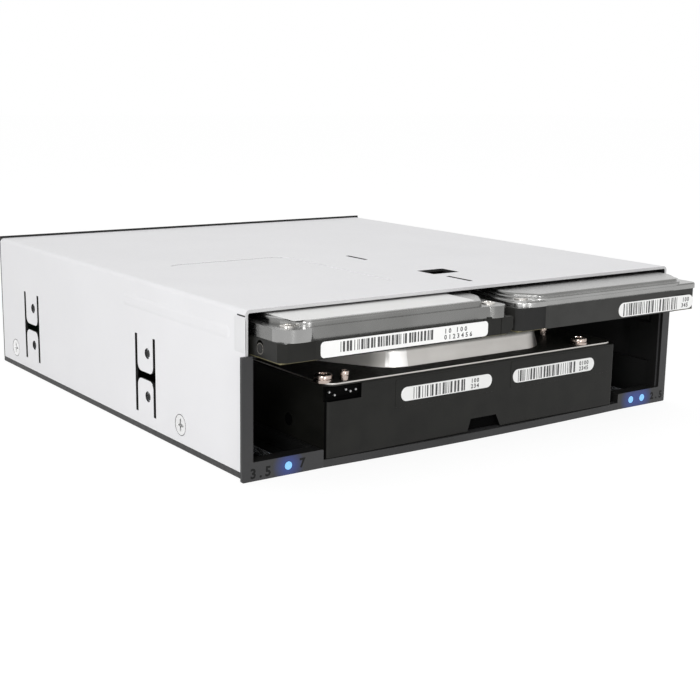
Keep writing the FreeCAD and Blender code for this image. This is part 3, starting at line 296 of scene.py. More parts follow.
def block(bm, x0, x1, y0, y1, z0, z1, material=0):
    """A block between six faces."""
    verts = bmesh.ops.create_cube(bm, size=1)["verts"]
    bmesh.ops.scale(bm, vec=(x1 - x0, y1 - y0, z1 - z0), verts=verts)
    bmesh.ops.translate(bm, vec=((x0 + x1) / 2, (y0 + y1) / 2, (z0 + z1) / 2), verts=verts)
    paint(verts, material)
    return verts


def paint(verts, material):
    """Give a material to every face round some vertices."""
    for face in {face for vert in verts for face in vert.link_faces}:
        face.material_index = material


def plate(bm, corners, low, high, material=0, segments=5):
    """A flat outline raised from low to high. A corner is (x, y) or (x, y, radius)."""
    before = set(bm.verts)
    verts = [bm.verts.new((corner[0], corner[1], low)) for corner in corners]
    bm.faces.new(verts)
    rounds = {}
    for vert, corner in zip(verts, corners):
        if len(corner) > 2:
            rounds.setdefault(corner[2], []).append(vert)
    for radius, group in rounds.items():
        bmesh.ops.bevel(bm, geom=group, offset=radius, segments=segments, affect="VERTICES",
                        profile=0.5, material=-1)
    face = added(bm, before)[0].link_faces[0]
    raised = bmesh.ops.extrude_face_region(bm, geom=[face])["geom"]
    bmesh.ops.translate(bm, vec=(0, 0, high - low),
                        verts=[item for item in raised if isinstance(item, bmesh.types.BMVert)])
    made = added(bm, before)
    paint(made, material)
    bmesh.ops.recalc_face_normals(bm, faces=list({f for v in made for f in v.link_faces}))
    return made


def frame_corners(x0, x1, y0, y1, radius):
    """The corners of a rectangle, all with one radius."""
    return [(x0, y0, radius), (x1, y0, radius), (x1, y1, radius), (x0, y1, radius)]


def crest_of(made):
    """The highest face of a plate."""
    return max((face for vert in made for face in vert.link_faces),
               key=lambda face: face.calc_center_median().z)


def pull_crest(bm, crest, inset, level):
    """Pull a plate's top face in and set it at a level, which leaves a sloped rim."""
    bmesh.ops.inset_region(bm, faces=[crest], thickness=inset, depth=0)
    for vert in crest.verts:
        vert.co.z = level


def break_edges(bm, verts, width, segments=2, angle=30, choose=None):
    """Round every sharp edge between some vertices."""
    inside = set(verts)
    sharp = [edge for edge in bm.edges
             if edge.verts[0] in inside and edge.verts[1] in inside and len(edge.link_faces) == 2
             and edge.calc_face_angle(0) > math.radians(angle)
             and (choose is None or choose(edge))]
    bmesh.ops.bevel(bm, geom=sharp, offset=width, segments=segments, affect="EDGES", profile=0.5,
                    material=-1, clamp_overlap=True)


def level_at(height):
    """Choose edges that lie level at a height."""
    return lambda edge: all(abs(vert.co.z - height) < 1e-4 for vert in edge.verts)


def drum(bm, place, radius, length, turn=None, material=0, segments=32, taper=None):
    """A round bar that starts at place and runs along +Z, or along a turned axis."""
    top = radius if taper is None else taper
    verts = bmesh.ops.create_cone(bm, cap_ends=True, segments=segments, radius1=radius, radius2=top,
                                  depth=length)["verts"]
    bmesh.ops.translate(bm, vec=(0, 0, length / 2), verts=verts)
    paint(verts, material)
    turn_to(bm, verts, place, turn)
    return verts


def turn_to(bm, verts, place, turn):
    """Turn some vertices from +Z to an axis, then move them to their place."""
    if turn is not None:
        bmesh.ops.rotate(bm, cent=(0, 0, 0), matrix=turn, verts=verts)
    bmesh.ops.translate(bm, vec=place, verts=verts)


TURN_LEFT = Matrix.Rotation(math.radians(-90), 3, "Y")
TURN_RIGHT = Matrix.Rotation(math.radians(90), 3, "Y")
TURN_FRONT = Matrix.Rotation(math.radians(90), 3, "X")


def cross_recess(angle, radius):
    """How far a Phillips recess reaches in one direction."""
    arm, half_wide = radius * 0.62, radius * 0.13
    turned = abs((angle + math.pi / 4) % (math.pi / 2) - math.pi / 4)
    if math.tan(turned) <= half_wide / arm:
        return arm / math.cos(turned)
    return half_wide / math.sin(turned)


def star_recess(angle, radius):
    """How far a six-lobed recess reaches in one direction."""
    return radius * (0.46 + 0.09 * math.cos(6 * angle))


def screw(bm, place, radius, rise, recess, turn, shank, reach, sunk=False):
    """A screw whose head stands on its place, or is sunk in it, with its recess and a plain shank."""
    depth, draft = radius * 0.42, 0.82
    before = set(bm.verts)
    bmesh.ops.create_circle(bm, cap_ends=True, segments=48, radius=shank)
    face = added(bm, before)[0].link_faces[0]
    bmesh.ops.translate(bm, vec=(0, 0, -reach), verts=list(face.verts))
    current = [face]

    def lift(height, size):
        """Raise the top face to a height, with each corner at its own distance from the axis."""
        spent = current[0]
        raised = bmesh.ops.extrude_face_region(bm, geom=[spent])["geom"]
        if spent is not face:
            bm.faces.remove(spent)
        verts = [item for item in raised if isinstance(item, bmesh.types.BMVert)]
        current[0] = next(item for item in raised if isinstance(item, bmesh.types.BMFace))
        for vert in verts:
            flat = Vector((vert.co.x, vert.co.y)).normalized()
            vert.co = Vector((flat.x * size(vert), flat.y * size(vert), height))

    def outline(vert):
        """How far the recess reaches towards a corner."""
        return recess(math.atan2(vert.co.y, vert.co.x), radius)

    if sunk:
        lift(-radius + shank, lambda vert: shank)
        lift(0, lambda vert: radius)
    else:
        lift(0, lambda vert: shank)
        lift(0, lambda vert: radius)
        lift(rise * 0.7, lambda vert: radius)
        lift(rise * 0.92, lambda vert: radius * 0.93)
        lift(rise, lambda vert: radius * 0.8)
    top = 0 if sunk else rise
    lift(top, outline)
    lift(top - depth, lambda vert: outline(vert) * draft)
    made = added(bm, before)
    bmesh.ops.recalc_face_normals(bm, faces=list({f for v in made for f in v.link_faces}))
    turn_to(bm, made, place, turn)


def bake(bm, name, body, materials, stands_for=(), angle=34):
    """Make the finished object, set its shading, tie it to its body, and hide the nodes it stands for."""
    bmesh.ops.scale(bm, vec=(MM, MM, MM), verts=bm.verts)
    mesh = bpy.data.meshes.new(name)
    for face in bm.faces:
        face.smooth = True
    for edge in bm.edges:
        edge.smooth = len(edge.link_faces) == 2 and edge.calc_face_angle(0) < math.radians(angle)
    bm.to_mesh(mesh)
    bm.free()
    for material in materials:
        mesh.materials.append(material)
    piece = bpy.data.objects.new(name, mesh)
    bpy.context.scene.collection.objects.link(piece)
    even = piece.modifiers.new("even_shading", "WEIGHTED_NORMAL")
    even.keep_sharp = True
    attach(piece, body)
    if stands_for:
        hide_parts(*stands_for)


def from_node(node):
    """A merged copy of a node's mesh, in millimetres."""
    bm = bmesh.new()
    bm.from_mesh(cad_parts[node].data)
    bmesh.ops.scale(bm, vec=(1 / MM,) * 3, verts=bm.verts)
    bmesh.ops.remove_doubles(bm, verts=bm.verts, dist=1e-4)
    bmesh.ops.dissolve_limit(bm, angle_limit=math.radians(0.5), verts=bm.verts, edges=bm.edges)
    for face in bm.faces:
        face.material_index = 0
    return bm


def softened(name, node, body, material, width):
    """A node's own shape with its sharp edges broken, as on the real piece."""
    bm = from_node(node)
    break_edges(bm, bm.verts, width, 2, 40)
    bake(bm, name, body, [material], [node])


def coat(material, *names):
    """Give a finish to nodes whose shape stays as it is."""
    for name in names:
        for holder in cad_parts[name].material_slots:
            holder.material = material


# ---------------------------------------------------------------- labels

def digits(bm, text, height, place, turn, material, spacing, weight):
    """Plain figures, standing on a surface."""
    curve = bpy.data.curves.new("figures", "FONT")
    curve.body = text
    curve.size = height
    curve.extrude = 0.006
    curve.space_character = spacing
    curve.offset = weight
    curve.resolution_u = 2
    holder = bpy.data.objects.new("figures", curve)
    bpy.context.scene.collection.objects.link(holder)
    bpy.context.view_layer.update()
    mesh = bpy.data.meshes.new_from_object(holder.evaluated_get(bpy.context.evaluated_depsgraph_get()))
    bpy.data.objects.remove(holder)
    before = set(bm.verts)
    bm.from_mesh(mesh)
    made = added(bm, before)
    paint(made, material)
    turn_to(bm, made, place, turn)


def bar_row(bm, seed, start, end, low, high, level, thin=0.22):
    """A row of plain upright bars of uneven width."""
    chance = random.Random(seed)
    x = start
    while x < end - thin:
        width = thin * chance.choice((1, 1, 2, 3))
        block(bm, x, min(x + width, end), low, high, level - 0.01, level + 0.006, INK)
        x += width + thin * chance.choice((1, 1, 2, 2, 3))


def front_label(name, body, area, face, radius, bars, lines, seed, spacing):
    """A printed label on a face that looks towards -Y. Bars and text stand at shares of its size."""
    x0, x1, z0, z1 = area
    left, right, low, high = bars
    width, height, thick = x1 - x0, z1 - z0, 0.06
    text_height, text_rows, weight = 0.42, (0.54, 0.14), 0.05
    bm = bmesh.new()
    plate(bm, frame_corners(0, width, 0, height, radius), 0, thick, 0, 6)
    bar_row(bm, seed, left * width, right * width, low * height, high * height, thick)
    for row, (text, at) in zip(text_rows, lines):
        digits(bm, text, height * text_height, (at * width, height * row, thick), None, INK, spacing, weight)
    turn_to(bm, bm.verts, (x0, face, z0), TURN_FRONT)
    bake(bm, name, body, LABEL_FINISHES)


# ---------------------------------------------------------------- the finishes in use

lamp_nodes = ("light_pipe_lower", "light_pipe_left", "light_pipe_right")
lamp_places = []
for lamp_name in lamp_nodes:
    low_corner, high_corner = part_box(lamp_name)
    middle_x, middle_z = (low_corner.x + high_corner.x) / 2, (low_corner.z + high_corner.z) / 2
    lamp_places.append((middle_x, low_corner.y, middle_z))
bezel_face = lamp_places[0][1] / MM

white = powder_coat("cover_white", (0.805, 0.803, 0.818), (0.83, 0.828, 0.843), 0.42)
# A greyer copy of the cover's white: painted shade on the bent strip at the front of each side and on the
# walls of the pressed panel on top.
fold_painted_shade = powder_coat("fold_painted_shade", (0.735, 0.735, 0.745), (0.765, 0.765, 0.775), 0.5)
# The cover's white darkened to a mid grey: painted shade on the cover's front edge.
sheet_edge_painted_shade = powder_coat("sheet_edge_painted_shade", (0.50, 0.50, 0.505), (0.57, 0.57, 0.575), 0.5, 0.3)
# Near black: painted shade on the walls of slots and holes, inside the cover and in its relief slit.
cut_edge_painted_shade = powder_coat("cut_edge_painted_shade", (0.012, 0.012, 0.012), (0.018, 0.018, 0.018), 0.6, 0.3)
hem_black = powder_coat("hem_black", (0.024, 0.024, 0.024), (0.032, 0.032, 0.032), 0.5, 0.4)
# Black steel darkened past its own colour: painted shade inside the cage, on the tray, shelf and divider.
black_steel_and_painted_shade = powder_coat("steel_black_and_painted_shade", (0.007, 0.007, 0.0068), (0.011, 0.011, 0.0107), 0.6, 0.25)
# Near black: painted shade and dark reflection on the 3.5 inch lid's flange top and lower edge.
flange_painted_shade = powder_coat("flange_painted_shade", (0.020, 0.019, 0.017), (0.028, 0.026, 0.023), 0.5, 0.2)
# Near black: painted shade in the 3.5 inch drive's notches, on its bracket and inside its side holes.
pit_painted_shade = powder_coat("pit_painted_shade", (0.002, 0.002, 0.002), (0.003, 0.003, 0.003), 0.8, 0.02)
bezel_black = bezel_plastic(lamp_places)
mark_black = moulded("bezel_mark", (0.006, 0.006, 0.006), (0.009, 0.009, 0.009), 0.7, 0.2)
lip_black = moulded("lip_black", (0.019, 0.019, 0.0195), (0.026, 0.026, 0.0265), 0.5, 0.4)
# Black plastic of the rails, darkened with painted shade; it is also the painted shade on the bezel's inward
# faces and the right drive's left front end.
rail_black = moulded("rail_black", (0.007, 0.007, 0.0068), (0.011, 0.011, 0.0107), 0.5, 0.25)
nylon = moulded("connector_black", (0.010, 0.010, 0.011), (0.015, 0.015, 0.016), 0.38, 0.45, 0.5)
casting = dipped_casting("drive_black", (0.0075, 0.0075, 0.0065), (0.011, 0.011, 0.0095))
pale_casting = dipped_casting("drive_grey", (0.028, 0.028, 0.0265), (0.035, 0.035, 0.0335))
lid_metal = satin_metal("lid_satin", (0.38, 0.38, 0.375), (0.44, 0.44, 0.435), 0.30)
# A darker copy of the lid metal: painted shade and dark reflection on the lids' slopes and the left lid's
# walls.
lid_band_painted_shade = satin_metal("lid_band_painted_shade", (0.19, 0.19, 0.185), (0.235, 0.235, 0.23), 0.26)
# A darker copy of the lid metal: painted shade on the right lid's walls.
right_wall_painted_shade = satin_metal("right_wall_painted_shade", (0.33, 0.33, 0.325), (0.38, 0.38, 0.375), 0.30)
# A glossier, darker copy of the lid metal: painted reflection on the left lid's ear.
ear_painted_reflection = satin_metal("ear_satin_painted_reflection", (0.30, 0.30, 0.295), (0.36, 0.36, 0.355), 0.22)
deck_metal = satin_metal("deck_satin", (0.56, 0.54, 0.515), (0.63, 0.61, 0.585), 0.38, 3.0, 0.001, 0.04)
# A lighter copy of the deck metal: painted light on the deck's left flank.
flank_painted_light = satin_metal("flank_satin_painted_light", (0.70, 0.68, 0.65), (0.78, 0.76, 0.73), 0.58, 3.0, 0.001, 0.04)
# A brighter copy of the deck metal: painted highlight on the deck's nose.
nose_painted_highlight = satin_metal("nose_satin_painted_highlight", (0.80, 0.785, 0.765), (0.85, 0.835, 0.815), 0.36, 3.0, 0.001, 0.04)
# A dark copy of satin metal: painted shade on the rings in the small drives' side holes.
shaded_metal = satin_metal("ring_satin_painted_shade", (0.10, 0.095, 0.085), (0.14, 0.13, 0.12), 0.25, 1.5, 0.002)
screw_steel = satin_metal("screw_steel", (0.62, 0.60, 0.57), (0.72, 0.70, 0.67), 0.22, 0.6, 0.002)
warm_steel = satin_metal("warm_steel", (0.42, 0.35, 0.31), (0.52, 0.44, 0.40), 0.24, 0.6, 0.002)
bright_zinc = satin_metal("bright_zinc", (0.78, 0.78, 0.78), (0.86, 0.86, 0.86), 0.3, 0.6, 0.002)
pin_metal = satin_metal("pin_satin", (0.46, 0.46, 0.46), (0.54, 0.54, 0.54), 0.3, 0.6, 0.002)
zinc = satin_metal("zinc_plate", (0.52, 0.54, 0.56), (0.62, 0.64, 0.66), 0.3, 0.8, 0.003)
board_green = circuit_board("board_green", (0.006, 0.045, 0.018), (0.012, 0.085, 0.035))
drive_board = circuit_board("drive_board", (0.010, 0.028, 0.012), (0.022, 0.055, 0.022))
laminate = board_edge()
acrylic = clear_acrylic()
lens = lit_lens()
LABEL_FINISHES = [label_paper(), label_ink()]
INK = 1


# ---------------------------------------------------------------- cage

def pressed_patch(bm, side, along, up, rise, slope, corner, material):
    """A patch that stands a little off one side of the cover, sloped all round."""
    turn, face_x, way = side
    buried, foot = -0.2, 0.02
    before = set(bm.verts)
    outline = [(up[0] * way, along[0], corner), (up[1] * way, along[0], corner),
               (up[1] * way, along[1], corner), (up[0] * way, along[1], corner)]
    patch = plate(bm, outline, buried, foot, material, 4)
    pull_crest(bm, crest_of(patch), slope, rise)
    turn_to(bm, added(bm, before), (face_x, 0, 0), turn)


def build_cover():
    """The cover: white outside, with painted shade at its cut edges and inside, and pressed patches each
    side.
    """
    low, high = find_box("cover_shell")
    outer, cut, front_edge, fold, ring = range(5)
    reach, panel_wall, edge_depth, panel_margin = 1.0, 0.15, 0.1, 2
    bm = from_node("cover_shell")
    break_edges(bm, bm.verts, 0.09, 1, 50)
    for face in bm.faces:
        middle = face.calc_center_median()
        beyond = middle + face.normal * reach
        outside = beyond.x < low.x or beyond.x > high.x or beyond.z > high.z
        on_top = middle.z > high.z - panel_wall
        # front_edge takes a mid-grey painted shade, fold a grey painted shade, and cut a near-black painted
        # shade on slot walls and the cover's inside.
        if middle.y < low.y + edge_depth and face.normal.y < -0.5:
            face.material_index = front_edge
        elif on_top and face.normal.z < 0.95 and abs(middle.x) < high.x - panel_margin:
            face.material_index = fold
        elif on_top or (outside and abs(face.normal.y) < 0.5):
            face.material_index = outer
        else:
            face.material_index = cut
    strip_top = 39.5
    hole_rows, hole_heights, hole_set = (47.4, 126.65), (10.0, 21.84), 0.6
    ring_radius, hole_radius = 1.43, 0.95
    slit_half, slit_end, slit_low, slit_high = 0.05, 0.6, strip_top + 0.15, strip_top + 0.5
    for side in ((TURN_LEFT, low.x, 1), (TURN_RIGHT, high.x, -1)):
        turn, face_x, way = side
        pressed_patch(bm, side, (4.2, 61.5), (33.2, 36.4), 0.24, 0.9, 1.4, outer)
        # The bent strip takes the grey painted shade.
        pressed_patch(bm, side, (low.y, 1.9), (31.0, strip_top), 0.14, 0.35, 0.5, fold)
        for y in hole_rows:
            for z in hole_heights:
                place = (face_x + hole_set * way, y, z)
                drum(bm, place, ring_radius, 0.2, turn, ring)
                # A near-black disc in each hole: painted shade.
                drum(bm, place, hole_radius, 0.24, turn, cut)
        # The relief slit is a thin near-black block: painted shade where the gap is.
        block(bm, face_x - slit_half, face_x + slit_half, low.y + 0.1, slit_end, slit_low, slit_high, cut)
    bake(bm, "cover_sheet", "cage", [white, cut_edge_painted_shade, sheet_edge_painted_shade, fold_painted_shade, zinc],
         ["cover_shell"])


def build_tray():
    """The black tray, a shade lighter on its outer faces; the darker black inside is painted shade."""
    low, high = find_box("base_tray")
    hem = 1
    bm = from_node("base_tray")
    break_edges(bm, bm.verts, 0.1, 1, 40)
    for face in bm.faces:
        middle = face.calc_center_median()
        if abs(middle.x) > high.x - 0.3 or middle.y > high.y - 0.2 or middle.z < low.z + 0.1:
            face.material_index = hem
    bake(bm, "base_sheet", "cage", [black_steel_and_painted_shade, hem_black], ["base_tray"])


def build_bezel():
    """The bezel, with its front edges rounded."""
    inner, lip = 1, 2
    rim, lip_top = 1.2, 2.0
    bm = from_node("front_bezel")
    break_edges(bm, bm.verts, 0.2, 3, 40,
                lambda edge: all(vert.co.y < bezel_face + 0.01 for vert in edge.verts))
    for face in bm.faces:
        middle = face.calc_center_median()
        if middle.y < bezel_face - 0.02 and middle.z < lip_top:
            face.material_index = lip
        # Faces that look into the bay take the darker black: painted shade.
        elif middle.x * face.normal.x < -0.3 or middle.y > bezel_face + rim:
            face.material_index = inner
    bake(bm, "bezel_frame", "cage", [bezel_black, rail_black, lip_black], ["front_bezel"])


def build_light_guides():
    """Clear rods whose front ends are lit."""
    lit = 1
    rim_share, dish_share, dish_depth = 0.14, 0.25, -0.12
    for name in lamp_nodes:
        low, high = find_box(name)
        radius = (high.x - low.x) / 2
        start = ((low.x + high.x) / 2, high.y, (low.z + high.z) / 2)
        bm = bmesh.new()
        drum(bm, start, radius, high.y - low.y, TURN_FRONT)
        front = next(face for face in bm.faces if face.calc_center_median().y < low.y + 0.01)
        rim = bmesh.ops.inset_region(bm, faces=[front], thickness=radius * rim_share, depth=0.0)
        bmesh.ops.inset_region(bm, faces=[front], thickness=radius * dish_share, depth=dish_depth)
        for face in {front, *rim["faces"], *(f for v in front.verts for f in v.link_faces)}:
            face.material_index = lit
        bake(bm, f"{name}_rod", "cage", [acrylic, lens], [name])


def build_cover_screws():
    """Countersunk cross-head screws in the cover's sides."""
    low, high = find_box("cover_screws")
    cover_low, cover_high = find_box("cover_shell")
    radius = (high.z - low.z) / 2
    middle = (low.z + high.z) / 2
    sunk, shank, reach = 0.02, 1.4, 5.2
    bm = bmesh.new()
    for y in (low.y + radius, high.y - radius):
        for x, turn in ((cover_low.x + sunk, TURN_LEFT), (cover_high.x - sunk, TURN_RIGHT)):
            screw(bm, (x, y, middle), radius * 0.94, 0, cross_recess, turn, shank, reach, True)
    bake(bm, "cover_screw_set", "cage", [bright_zinc], ["cover_screws"])


def build_bezel_marks():
    """Bay sizes and a plain figure on the bezel beside the lamps."""
    bm = bmesh.new()
    for text, x, z, size, spacing in (("3.5", -72.3, 0.75, 3.4, 1.5), ("7", -58.3, 1.3, 3.2, 1.0),
                                      ("2.5", 68.2, 1.3, 2.9, 1.6)):
        digits(bm, text, size, (x, bezel_face, z), TURN_FRONT, 0, spacing, 0.12)
    bake(bm, "bezel_size_marks", "cage", [mark_black])


# ---------------------------------------------------------------- large drive

LARGE = "lower_drive"


def build_large_casting():
    """The 3.5 inch drive's casting: notches, a bracket and the insides of its side holes in near-black
    painted shade, and raised panels.
    """
    low, high = find_box("lower_drive_base")
    dark, ring, pin = 1, 2, 3
    notch_back, notch_end = low.y + 1.6, 30
    bm = from_node("lower_drive_base")
    break_edges(bm, bm.verts, 0.22, 2, 40)
    # Faces in the front notch take the near-black painted shade.
    for face in bm.faces:
        middle = face.calc_center_median()
        in_notch = low.y + 0.3 < middle.y < notch_back and middle.x < notch_end
        if in_notch or abs(middle.y - notch_back) < 0.2:
            face.material_index = dark
    panel_low, panel_high, panel_rise, buried = 12.3, 19.8, 0.09, -0.1
    for x0, x1 in ((-29.6, 4.6), (10.0, 49.4)):
        before = set(bm.verts)
        panel = plate(bm, frame_corners(x0, x1, panel_low, panel_high, 0.6), buried, panel_rise)
        break_edges(bm, panel, 0.08, 2, 60, level_at(panel_rise))
        turn_to(bm, added(bm, before), (0, low.y, 0), TURN_FRONT)
    # The bracket takes the near-black painted shade.
    bracket_face, bracket_thick = low.y + 0.9, 0.5
    bracket = block(bm, -50.3, -40.4, bracket_face, bracket_face + bracket_thick,
                    low.z + 15.2, low.z + 17.7, dark)
    break_edges(bm, bracket, 0.2)
    for x, z in ((-49.6, 18.9), (-48.0, 18.0), (-44.6, 19.0), (-43.2, 18.4), (-41.6, 18.7)):
        drum(bm, (x, bracket_face, z), 0.36, 0.3, TURN_FRONT, pin, 12, 0.26)
    hole_rows, hole_height, hole_set = (12.4, 114.0), low.z + 6.35, 0.25
    for y in hole_rows:
        for x, turn in ((low.x + hole_set, TURN_LEFT), (high.x - hole_set, TURN_RIGHT)):
            drum(bm, (x, y, hole_height), 2.15, 0.3, turn, ring, 32, 1.0)
            # A near-black disc in each side hole: painted shade.
            drum(bm, (x, y, hole_height), 1.65, 0.32, turn, dark)
    bake(bm, "large_casting", LARGE, [casting, pit_painted_shade, bright_zinc, pin_metal],
         ["lower_drive_base"])


def raise_deck(bm, outline, foot, top):
    """Raise a deck from a flat sheet, with a nearly upright wall and a round shoulder."""
    steps, shoulder, lean, buried = 8, 3.6, 0.8, 0.4
    crest = crest_of(plate(bm, outline, foot - buried, foot, 0, 6))
    levels = [(lean, top - shoulder)]
    for step in range(1, steps + 1):
        turn = math.pi / 2 * step / steps
        levels.append((lean + shoulder * (1 - math.cos(turn)), top - shoulder * (1 - math.sin(turn))))
    inset = 0
    for reach, level in levels:
        pull_crest(bm, crest, reach - inset, level)
        inset = reach


def build_large_lid(sheet_top):
    """The 3.5 inch drive's lid: a flange whose top and lower edge carry painted shade and dark reflection, a
    bright upper edge, and a raised deck with a painted highlight on its nose and painted light on its left
    flank.
    """
    low, high = find_box("lower_drive_cover")
    front = find_box("lower_drive_base")[0].y
    black, flank, nose = 1, 2, 3
    front_corner, rear_corner, bright_edge = 3.0, 1.0, 0.5
    rim = [(low.x, low.y, front_corner), (high.x, low.y, front_corner),
           (high.x, high.y, rear_corner), (low.x, high.y, rear_corner)]
    bm = bmesh.new()
    # The lower half of the flange's edge takes the painted shade.
    plate(bm, rim, low.z, sheet_top - bright_edge, black, 6)
    flange = plate(bm, rim, sheet_top - bright_edge, sheet_top, 0, 6)
    break_edges(bm, flange, 0.12, 2, 60)
    # The flange's top takes the dark painted reflection.
    for face in bm.faces:
        if face.normal.z > 0.9:
            face.material_index = black
    side = high.x - 3.2
    half = [(24.0, front + 5.6, 2.8), (28.6, front + 9.0, 2.7), (38.5, front + 24.5, 6.0),
            (side, front + 44.0, 7.0), (side, high.y - 20.6, 4.0), (side - 12, high.y - 8.6, 4.0)]
    outline = half + [(-corner[0], *corner[1:]) for corner in reversed(half)]
    foot = sheet_top + 0.1
    raise_deck(bm, outline, foot, high.z)
    # The nose takes the painted highlight, the left flank the painted light.
    nose_back, left_part = front + 9, low.x + 30
    for face in bm.faces:
        middle, facing = face.calc_center_median(), face.normal
        if middle.z < foot - 0.1 or middle.x > left_part:
            continue
        if middle.y < nose_back and 0.05 * facing.y > facing.x > 0.85 * facing.y:
            face.material_index = nose
        elif facing.x < -0.5:
            face.material_index = flank
    bake(bm, "large_lid", LARGE, [deck_metal, flange_painted_shade, flank_painted_light, nose_painted_highlight],
         ["lower_drive_cover"], 50)


def build_large_screws(sheet_top):
    """The 3.5 inch drive's lid screws on their washers, and two small studs."""
    low, high = find_box("lower_drive_screws")
    reach = 1.9
    bm = bmesh.new()
    for x, y in ((-49.4, low.y + 2.7), (38.8, low.y + reach),
                 (low.x + reach, high.y - reach), (high.x - reach, high.y - reach)):
        drum(bm, (x, y, sheet_top - 0.1), 2.45, 0.75, segments=40)
        drum(bm, (x, y, sheet_top + 0.6), 1.9, 0.3, segments=40)
        screw(bm, (x, y, sheet_top + 0.85), 2.3, 1.1, star_recess, None, 1.3, 0.6)
    for x, y in ((-44.2, low.y + 1.0), (39.2, 13.4)):
        drum(bm, (x, y, sheet_top - 0.1), 1.1, 1.3)
        drum(bm, (x, y, sheet_top + 1.1), 0.85, 0.4)
        screw(bm, (x, y, sheet_top + 1.4), 1.2, 1.1, star_recess, None, 0.8, 0.5)
    bake(bm, "large_lid_screws", LARGE, [warm_steel], ["lower_drive_screws"])


def build_large_drive():
    """The 3.5 inch drive: casting, lid with its deck, screws and labels."""
    sheet_top = find_box("lower_drive_cover")[0].z + 0.8
    build_large_casting()
    build_large_lid(sheet_top)
    build_large_screws(sheet_top)
    label_face = find_box("lower_drive_base")[0].y - 0.085
    front_label("large_label_left", LARGE, (-27.8, 3.1, 13.7, 17.4), label_face, 1.8,
                (0.13, 0.70, 0.07, 0.9), [("100", 0.76), ("234", 0.76)], 3, 1.3)
    front_label("large_label_right", LARGE, (10.8, 42.3, 13.6, 17.4), label_face, 1.85,
                (0.06, 0.76, 0.07, 0.9), [("0100", 0.81), ("2345", 0.81)], 8, 1.2)


# ---------------------------------------------------------------- small drives

FACE_SET = 0.07
SKIRT = 0.45
CROWN_SETBACK = {"left": 1.6, "right": 1.2}
RIGHT_INSET = {"left": 1.0, "right": -0.35}


def add_ear(bm, low, high):
    """The left drive's chamfered ear and the lug above it."""
    lug = block(bm, high.x - 7.6, high.x - 1.7, low.y + 0.8, low.y + 2.4, high.z - 0.4, high.z + 0.35)
    break_edges(bm, lug, 0.15)
    inner, outer, chamfer, thick = high.x - 3.2, high.x + 0.9, 1.5, 1.8
    foot = low.z - SKIRT
    ear = plate(bm, [(inner, foot), (outer - chamfer, foot), (outer, foot + chamfer),
                     (outer, high.z), (inner, high.z)], 0, thick)
    turn_to(bm, ear, (0, low.y + 0.55 + thick, 0), TURN_FRONT)
    break_edges(bm, ear, 0.15)


def build_small_casting(side):
    """A 2.5 inch drive's casting, let down a little round its underside."""
    body = f"{side}_drive"
    low, high = find_box(f"{body}_base")
    dark, near = 1, 0.35
    bm = from_node(f"{body}_base")
    break_edges(bm, bm.verts, 0.2, 2, 20)
    for vert in bm.verts:
        if vert.co.y < low.y + near:
            vert.co.y += FACE_SET
        if vert.co.z < low.z + near:
            vert.co.z -= SKIRT
    if side == "left":
        add_ear(bm, low, high)
    else:
        # The right drive's left front end takes the darker black: painted shade in the recess there.
        dark_end = low.x + 9.0
        for face in bm.faces:
            if face.calc_center_median().x < dark_end and face.normal.y < -0.3:
                face.material_index = dark
    finish = casting if side == "left" else pale_casting
    bake(bm, f"{side}_casting", body, [finish, rail_black], [f"{body}_base"])


def pan_outline(side, left, right, front, back):
    """The lid's lower outline: an ear at each front corner on the left, a cut corner on the right."""
    rear = [(right, back, 1.0), (left, back, 1.0)]
    if side == "right":
        face = front + 0.3
        return [(left, front + 4.4, 1.6), (left + 4.0, face, 1.6), (right, face, 2.2), *rear]
    step = front + 0.9
    return [(left, front, 4.6), (left + 7.4, front, 1.2), (left + 8.9, step, 0.9),
            (right - 5.8, step, 0.9), (right - 4.6, front, 1.2), (right, front, 2.6), *rear]


